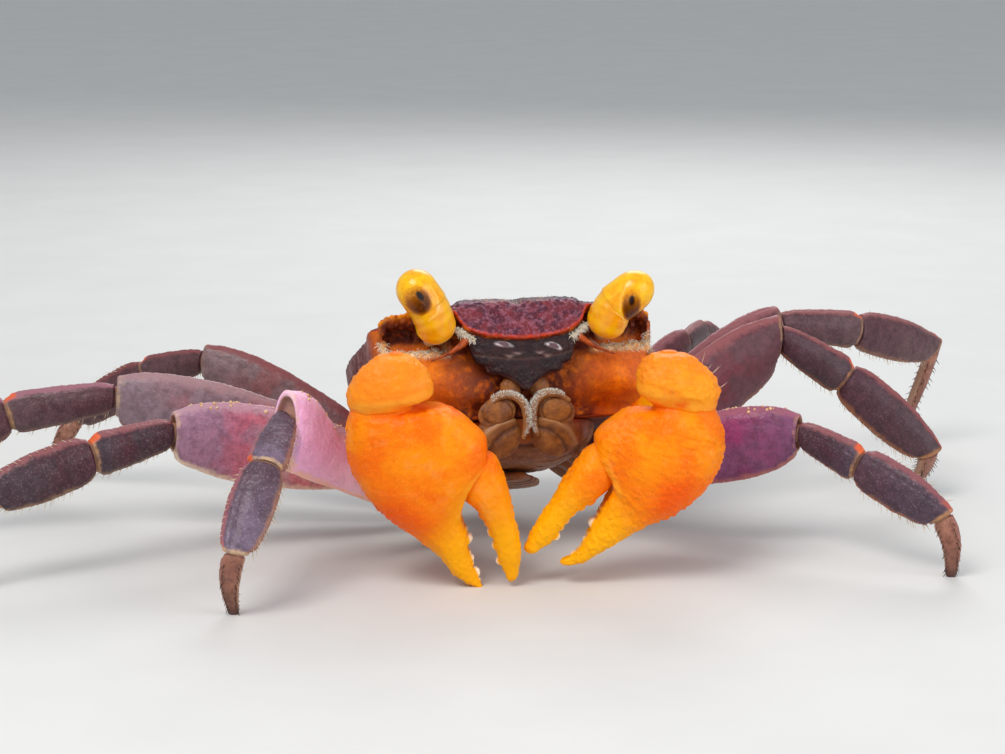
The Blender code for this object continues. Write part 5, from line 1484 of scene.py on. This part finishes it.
for middle, slope in (((-1.2, 0.80), 0.22), ((1.72, 0.60), 0.38)):
    u = (x - middle[0]) * math.cos(slope) - (z - middle[1]) * math.sin(slope)
    v = (x - middle[0]) * math.sin(slope) + (z - middle[1]) * math.cos(slope)
    hook.append(np.sqrt((u / 0.46) ** 2 + ((v + 0.2 * u ** 2) / 0.16) ** 2))
hook = np.minimum(*hook)
# The ovals' white rims, broken up by clouds: partly real white, partly painted highlights.
shine = np.exp(-((hook - 0.85) / 0.22) ** 2) * (0.3 + 0.7 * step_up(-0.2, 0.3, clouds(grid, 0.25, 11)))
middle_bump = np.exp(-((x - 0.25) / 0.32) ** 2 - ((z - 0.72) / 0.16) ** 2)
marks_pale = sum(np.exp(-((x - a) / 0.2) ** 2 - ((z - b - 0.3 * abs(x - a)) / 0.07) ** 2)
                 for a, b in ((-0.45, 0.2), (0.85, 0.2), (-0.9, 0.05), (1.3, 0.02)))
shelf = np.exp(-((z + 0.08 - 0.05 * x ** 2) / 0.09) ** 2)
low_edge = np.interp(-z, plate_levels, plate_widths) - abs(x)
rim_pale = np.exp(-(low_edge / 0.08) ** 2) * step_up(0.1, -0.3, z)
push = ahead * (0.10 * step_up(1.15, 0.7, hook) + 0.05 * shine + 0.10 * middle_bump + 0.05 * marks_pale
                - 0.06 * shelf + 0.03 * rim_pale + 0.05 * grains(grid, 0.17, 12)
                + 0.06 * clouds(grid, 0.5, 13))
grid[..., 1] -= push
print("relief of the plate in mm, up to", round(float(push.max()), 2))
mask = np.stack([shine * ahead, 0.6 * marks_pale * ahead, (0.5 * rim_pale + 0.2 * shelf) * ahead,
                 0.8 * step_up(0.75, 0.35, hook) * ahead], axis=-1)

# %% Finish of the plate
plate_finish, tree, shader, where, marks = new_finish("umber_plate", 0.55, coat=0.05, glow=0.05)
dark = mottled(tree, where, 0.6, 0.36, 0.64, (46, 16, 18), (28, 12, 18))
dark = speckled(tree, where, 0.13, 0.3, 0.08, dark, (92, 56, 56), 0.5)
dark = blended(tree, marks["skin"], dark, (128, 92, 84))
dark = blended(tree, marks["height"], dark, (168, 140, 134))
# White rims of the small feelers, partly painted highlights.
dark = blended(tree, marks["along"], dark, (226, 216, 220))
dark = blended(tree, marks["grain"], dark, (112, 78, 88))
tree.links.new(dark, shader.inputs["Base Color"])
roughen(tree, shader, cells(tree, where, 0.1), 0.02, 0.6)
shell("face_plate_relief", on_body(grid), plate_finish, mask, ["face_plate"])
print("face plate rows:", grid.shape[:2])

# %% Leaves and bent tubes
def leaf(centre, radii, turn_x, turn_y, rows, cols, bend=0.0):
    """A flattened ball whose rows run from top to bottom, turned about x and then y."""
    tall = np.linspace(0.02, np.pi - 0.02, rows)
    round_ = 2.0 * np.pi * (np.arange(cols) + 0.5) / cols
    x = np.outer(np.sin(tall), np.cos(round_)) * radii[0]
    y = np.outer(np.sin(tall), np.sin(round_)) * radii[1] + bend * x ** 2
    z = np.outer(np.cos(tall), np.ones(cols)) * radii[2]
    points = np.stack([x, y, z], axis=-1)
    spin = np.array(Matrix.Rotation(turn_x, 3, "X") @ Matrix.Rotation(turn_y, 3, "Y"))
    return points @ spin.T + np.array(centre)


def bent_tube(points, sizes, spacing, cols):
    """A round tube along points, with a size at each."""
    points = np.array(points)
    ways = unit(np.gradient(points, axis=0))
    rings = []
    for centre, size, way in zip(points, sizes, ways):
        across = unit(np.cross(way, (0.0, 1.0, 0.0)))
        rings.append(oval(centre, across * size, np.cross(across, way) * size, 2.0, cols))
    rows, share = through(rings, spacing)
    head = drawn_in(rows[0], rows[0].mean(axis=0) - rows[1].mean(axis=0), domed(sizes[0] / spacing))[::-1]
    tail = drawn_in(rows[-1], rows[-1].mean(axis=0) - rows[-2].mean(axis=0), domed(sizes[-1] / spacing))
    share = np.concatenate([np.zeros(len(head)), share, np.ones(len(tail))])
    return np.concatenate([head, rows, tail]), share


# %% Build the mouth limbs
mouth_finish, tree, shader, where, marks = new_finish("mouth_limb", 0.45, coat=0.1, glow=0.2)
tone = mottled(tree, where, 0.7, 0.35, 0.65, (164, 104, 46), (124, 72, 34))
tone = mottled(tree, where, 0.16, 0.45, 0.66, tone, (92, 52, 26), 0.4, 4.0, 0.7)
tone = blended(tree, marks["height"], tone, (64, 32, 20))
tone = blended(tree, marks["skin"], tone, (186, 140, 94))
tree.links.new(tone, shader.inputs["Base Color"])
roughen(tree, shader, noise(tree, where, 0.12), 0.03, 0.5)

PALP = {
    "right": [(-2.35, -6.95, -2.75), (-1.95, -7.1, -2.3), (-1.3, -7.2, -2.1), (-0.7, -7.22, -2.22),
              (-0.3, -7.2, -2.62), (-0.12, -7.12, -3.2), (-0.12, -6.98, -3.8), (-0.28, -6.8, -4.5)],
    "left": [(2.45, -6.95, -2.5), (1.95, -7.1, -2.2), (1.35, -7.2, -2.08), (0.85, -7.22, -2.2),
             (0.5, -7.2, -2.55), (0.32, -7.12, -3.1), (0.34, -6.98, -3.7), (0.5, -6.8, -4.3)],
}
PALP_SIZES = [0.14, 0.18, 0.21, 0.22, 0.22, 0.21, 0.18, 0.13]
DISC_AT = (1.72, -6.72, -3.02)
DISC_SIZE = (1.12, 0.42, 0.86)
LEAF_TURN = 0.35
TUBE_COLS = 32
palp_rows = {}
for side_name, side in SIDES:
    ischium = leaf((side * 1.65, -6.28, -4.35), (1.4, 0.42, 1.25), 0.28, side * LEAF_TURN, 70, 110, 0.05)
    x, z = ischium[..., 0] * side, ischium[..., 2]
    fold = near_line(np.stack([x, z], axis=-1), [(0.75, -3.45), (1.6, -3.7), (2.4, -4.2), (2.9, -4.9)], 0.16)
    stripe = near_line(np.stack([x, z], axis=-1), [(0.7, -3.9), (1.4, -4.2), (2.0, -4.7), (2.3, -5.3)], 0.13)
    ischium = swelled(ischium, 0.11 * fold - 0.08 * stripe + 0.04 * clouds(ischium, 0.5, 14))
    mask = np.stack([0.0 * x, 0.7 * stripe, 0.5 * fold, 0.0 * x], axis=-1)
    nodes = ["mouth_lobe_" + side_name]
    shell("mouth_%s_leaf" % side_name, on_body(ischium), mouth_finish, mask, nodes)
    disc = leaf((side * DISC_AT[0], DISC_AT[1], DISC_AT[2]), DISC_SIZE, 0.2, side * LEAF_TURN, 60, 100)
    x, z = disc[..., 0] - side * DISC_AT[0], disc[..., 2] - DISC_AT[2]
    around = np.sqrt((x / DISC_SIZE[0]) ** 2 + (z / DISC_SIZE[2]) ** 2)
    groove = np.exp(-((around - 0.8) / 0.06) ** 2)
    disc = swelled(disc, -0.04 * groove + 0.03 * clouds(disc, 0.4, 15) + 0.015 * grains(disc, 0.15, 16))
    mask = np.stack([0.0 * x, 0.5 * groove, 0.3 * step_up(0.86, 0.98, around), 0.0 * x], axis=-1)
    shell("mouth_%s_disc" % side_name, on_body(disc), mouth_finish, mask, nodes)
    palp = bent_tube(PALP[side_name], PALP_SIZES, 0.05, TUBE_COLS)[0]
    palp = swelled(palp, 0.02 * clouds(palp, 0.25, 17))
    mask = blank_mask(palp)
    mask[..., 2] = 0.3
    shell("mouth_%s_palp" % side_name, on_body(palp), mouth_finish, mask, nodes)
    small = leaf((side * 0.82, -6.7, -1.62), (0.62, 0.34, 0.62), 0.1, side * LEAF_TURN, 40, 50)
    small = swelled(small, 0.03 * clouds(small, 0.25, 18))
    mask = blank_mask(small)
    shell("mouth_%s_tip" % side_name, on_body(small), mouth_finish, mask, nodes)
    palp_rows[side_name] = palp
print("mouth limbs built, palp rows:", [len(r) for r in palp_rows.values()])

# %% Feelers beside the eyes
feeler_finish = plain_finish("feeler_ringed", (176, 78, 14), (120, 44, 12), 0.45, coat=0.1,
                             size=0.3)
FEELER = [(3.35, -7.1, 1.1), (3.8, -7.2, 0.74), (4.5, -7.1, 0.38), (5.3, -7.0, 0.08)]
FEELER_SIZES = [0.24, 0.17, 0.1, 0.05]
for side_name, side in SIDES:
    feeler, share = bent_tube([(side * x, y, z) for x, y, z in FEELER], FEELER_SIZES, 0.05, TUBE_COLS)
    bands = 0.02 * np.sin(share * 90.0) * step_up(0.35, 0.5, share)
    mask = blank_mask(feeler)
    shell("feeler_%s_banded" % side_name, on_body(swelled(feeler, bands[:, None] * np.ones(TUBE_COLS))),
          feeler_finish, mask, ["feeler_" + side_name])
print("feeler rows:", len(feeler))

# %% [markdown]
# ## Fringes and tufts
# Pale hair grows wherever water is strained or kept: a fringe along both curved mouth feelers, a
# thick tuft at the foot of each small feeler, and curls on the ridge under the eyes. A few longer
# hairs stand on the flanks and along the top of the front lobe.

# %% Hair of the face
fringe_hair = plain_finish("fringe_hair", (246, 248, 238), (254, 254, 248), 0.6)
tuft_hair = plain_finish("tuft_hair", (246, 236, 214), (254, 250, 238), 0.6)
FRINGE_TRIES = 2200       # only those on the outer side of the palps are kept
TUFT_HAIRS = 330
BROW_CURLS = 620
CREST_HAIRS = 50
FLANK_HAIRS = 130
draw = np.random.default_rng(7)


def scattered(count, low, high):
    return draw.uniform(low, high, count)


def spread(ways, amount):
    """Each way turned a little at random."""
    return unit(np.asarray(ways) + draw.normal(0.0, amount, (len(ways), 3)))


def body_hair(name, roots, ways, lengths, thick, finish, droop=(0.0, 0.0, -0.2)):
    """Hair given in the body's own directions."""
    places = np.column_stack([scattered(len(roots), 0.1, 0.9), scattered(len(roots), 0.1, 0.9)])
    return bristles(name, on_body(roots), np.asarray(ways) @ TURN.T, lengths, thick, finish, places,
                    droop)


# %% Fringes of the palps and tufts of the feelers
for side_name, side in SIDES:
    rows = palp_rows[side_name]
    normals = outward(rows)
    i = (scattered(FRINGE_TRIES, 0.16, 0.9) * len(rows)).astype(int)
    j = draw.integers(0, rows.shape[1], FRINGE_TRIES)
    wanted = normals[i, j] @ unit((-0.35 * side, -0.75, 0.55)) > 0.45
    i, j = i[wanted], j[wanted]
    ways = spread(normals[i, j] + (-0.2 * side, -0.2, 0.5), 0.25)
    body_hair("mouth_%s_fringe" % side_name, rows[i, j], ways, scattered(len(i), 0.1, 0.2), 0.016,
              fringe_hair)
    share = scattered(TUFT_HAIRS, 0.0, 1.0)[:, None]
    foot = (np.array((side * 2.85, -7.12, 1.12)) * (1.0 - share)
            + np.array((side * 3.8, -6.95, 1.85)) * share)
    ways = spread(np.tile((side * 0.1, -0.8, 0.1), (TUFT_HAIRS, 1)), 0.55)
    body_hair("feeler_%s_tuft" % side_name, foot + ways * 0.08, ways, scattered(TUFT_HAIRS, 0.2, 0.42),
              0.028, tuft_hair, (0.0, 0.0, -0.4))
print("hairs in each tuft:", TUFT_HAIRS)

# %% Hair of the shell
normals = outward(shell_rows)


def shell_hair(name, weight, count, lean, amount, lengths, thick, finish, droop=(0.0, 0.0, -0.2)):
    """Hair on points of the shell drawn at random where the weight is high."""
    i, j = np.nonzero(weight > 0.5)
    chosen = draw.integers(0, len(i), count)
    i, j = i[chosen], j[chosen]
    ways = spread(normals[i, j] + lean, amount)
    body_hair(name, shell_rows[i, j], ways, scattered(count, *lengths), thick, finish, droop)


x, y, z = (shell_rows[..., k] for k in range(3))
sides = (abs(x) > 7.3) * (y < -4.2) * (abs(z + 0.6) < 1.1)
shell_hair("brow_curls", shell_band, BROW_CURLS, (0.0, -0.2, 0.4), 0.45, (0.2, 0.45), 0.024, tuft_hair,
           (0.0, 0.0, -0.7))
shell_hair("crest_hair", shell_crest, CREST_HAIRS, (0.0, 0.0, 0.8), 0.3, (0.12, 0.32), 0.014, fair_bristle)
shell_hair("flank_hair", sides, FLANK_HAIRS, (0.0, -0.7, 0.3), 0.3, (0.4, 0.95), 0.016, fair_bristle)
print("hairs of the shell:", BROW_CURLS + CREST_HAIRS + FLANK_HAIRS)

# %% [markdown]
# ## Belly
# The breast plate is a shield with one cross groove for each pair of limbs, and the tail, which is
# only a flap in crabs, is folded forward under it. Its stubs at the sides are the hip joints. The
# flap has seven segments, so its underside gets six grooves.

# %% Finish of the belly
belly_finish, tree, shader, where, marks = new_finish("belly_shell", 0.42, coat=0.2, glow=0.25,
                                                      glow_size=0.6)
tone = mottled(tree, where, 1.2, 0.35, 0.65, (158, 92, 44), (120, 68, 36))
tone = mottled(tree, where, 0.25, 0.45, 0.7, tone, (180, 124, 74), 0.4)
tone = blended(tree, marks["height"], tone, (78, 40, 24))
tone = blended(tree, marks["skin"], tone, (196, 96, 26))
tree.links.new(tone, shader.inputs["Base Color"])
roughen(tree, shader, cells(tree, where, 0.14), 0.03, 0.5)
print("finish:", belly_finish.name)

# %% Breast plate
BELLY_Z = -5.4
# Height, half width, front and rear of each section.
BELLY = [(-3.3, 5.2, -5.6, 5.9), (-3.6, 5.2, -5.6, 5.9), (-4.2, 5.0, -5.5, 5.8), (-4.9, 4.3, -5.15, 5.3),
         (-5.45, 3.2, -4.5, 4.4)]
BELLY_COLS = 260
BELLY_SPACING = 0.08
turn = 2.0 * np.pi * np.arange(BELLY_COLS) / BELLY_COLS
rings = []
for z, half_width, front, rear in BELLY:
    s, c = np.sin(turn), np.cos(turn)
    x = half_width * np.sign(s) * abs(s) ** 0.8
    y = (front + rear) / 2.0 - (rear - front) / 2.0 * np.sign(c) * abs(c) ** 0.8
    x = x * (1.0 - 0.12 * step_up(2.0, 6.0, y)) * (1.0 - 0.1 * step_up(-4.0, -5.5, y))
    rings.append(np.column_stack([x, y, np.full(BELLY_COLS, z)]))
rows = through(rings, BELLY_SPACING)[0]
under = drawn_in(rows[-1], (0.0, 0.0, -1.0), [(0.93, 0.10), (0.85, 0.15), (0.7, 0.17), (0.5, 0.17),
                                              (0.3, 0.17), (0.02, 0.17)])
under = through(np.concatenate([rows[-1:], under]), BELLY_SPACING)[0][1:]
top = drawn_in(rows[0], (0.0, 0.0, 1.0), [(0.02, 0.02), (0.9, 0.02), (0.97, 0.02)])
grid = np.concatenate([top, rows, under])
x, y, z = (grid[..., k] for k in range(3))
low = step_up(-3.4, -3.8, z)
cross = sum(np.exp(-((y - a - 0.12 * abs(x)) / 0.13) ** 2) for a in (-3.6, -1.2, 1.1, 3.2))
cross = cross * step_up(0.4, 1.0, abs(x))
fold = sum(np.exp(-((z - a - 0.09 * x ** 2) / 0.1) ** 2) for a in (-4.3, -4.8)) * step_up(-4.6, -5.0, y)
push = low * (-0.12 * cross - 0.1 * fold + 0.03 * grains(grid, 0.2, 19) + 0.05 * clouds(grid, 0.9, 20, 3))
grid = swelled(grid, push)
warm = step_up(-4.2, -5.2, y) * step_up(-5.0, -3.9, z)
mask = np.stack([0.0 * x, np.clip(cross + fold, 0.0, 1.0) * low, warm, 0.0 * x], axis=-1)
shell("breast_plate_shield", on_body(grid), belly_finish, mask, ["breast_plate"])
print("breast plate rows:", grid.shape[:2])

# %% Sockets of the hips
for number in range(4):
    for side_name, side in SIDES:
        leg = "leg_%s_%d" % (side_name, number + 1)
        x, y, z = hip_of(leg, number)
        hip = on_body((side * x, y, z))
        way = unit(np.array(JOINTS[leg][0]) - hip)
        across = unit(np.cross(way, (0.0, 0.0, 1.0)))
        up = unit(np.cross(across, way))
        root = on_body((side * 3.2, y * 0.86, -4.35))
        end = hip - way * (0.5 * GAP)
        high, thick = 0.5 * LEG_HEIGHTS[number][0], 0.5 * LEG_THICK[number][0]
        sections = [(root, 0.42, 0.7), (end - way * 1.1, 0.44, 0.72), (end - way * 0.25, 0.55, 0.78),
                    (end, 0.5, 0.68)]
        rings = [oval(c, across * thick * t, up * high * h, 2.3, 60, 0.12) for c, h, t in sections]
        rows = through(rings, 0.12)[0]
        rows = swelled(rows, 0.03 * clouds(rows, 0.6, 22))
        stub = np.concatenate([rows, drawn_in(rows[-1], way, CUP)])
        mask = blank_mask(stub)
        mask[len(rows):, :, 2] = 0.4
        shell("hip_%s_socket" % leg, stub, belly_finish, mask, ["breast_plate"])
print("hip sockets:", 2 * len(HIPS))

# %% Tail flap
# Place along the body, half width and thickness of each section.
FLAP = [(6.9, 1.5, 0.55), (5.6, 2.3, 0.6), (4.0, 2.7, 0.6), (2.2, 2.4, 0.6), (0.6, 1.7, 0.55),
        (-0.8, 1.0, 0.5)]
FLAP_END_ROWS = 5
rings = []
for y, half_width, thick in FLAP:
    z = BELLY_Z - GAP - thick / 2.0 - 0.15 + 0.5 * max(y - 4.4, 0.0)
    rings.append(oval((0.0, y, z), (half_width, 0.0, 0.0), (0.0, 0.0, thick / 2.0), 2.8, 130))
rows = through(rings, BELLY_SPACING)[0]
y = rows[..., 1]
cut = sum(np.exp(-((y - a) / 0.09) ** 2) for a in (5.9, 4.8, 3.6, 2.4, 1.3, 0.4))
rows = swelled(rows, -0.12 * cut + 0.02 * grains(rows, 0.18, 23) + 0.03 * clouds(rows, 0.8, 24))
flap = np.concatenate([drawn_in(rows[0], (0.0, 1.0, 0.0), domed(0.1, FLAP_END_ROWS))[::-1], rows,
                       drawn_in(rows[-1], (0.0, -1.0, 0.0), domed(0.15, FLAP_END_ROWS))])
mask = blank_mask(flap)
mask[FLAP_END_ROWS:-FLAP_END_ROWS, :, 1] = 0.8 * cut
shell("tail_flap_segments", on_body(flap), belly_finish, mask, ["tail_flap"])
print("belly and mouth built")
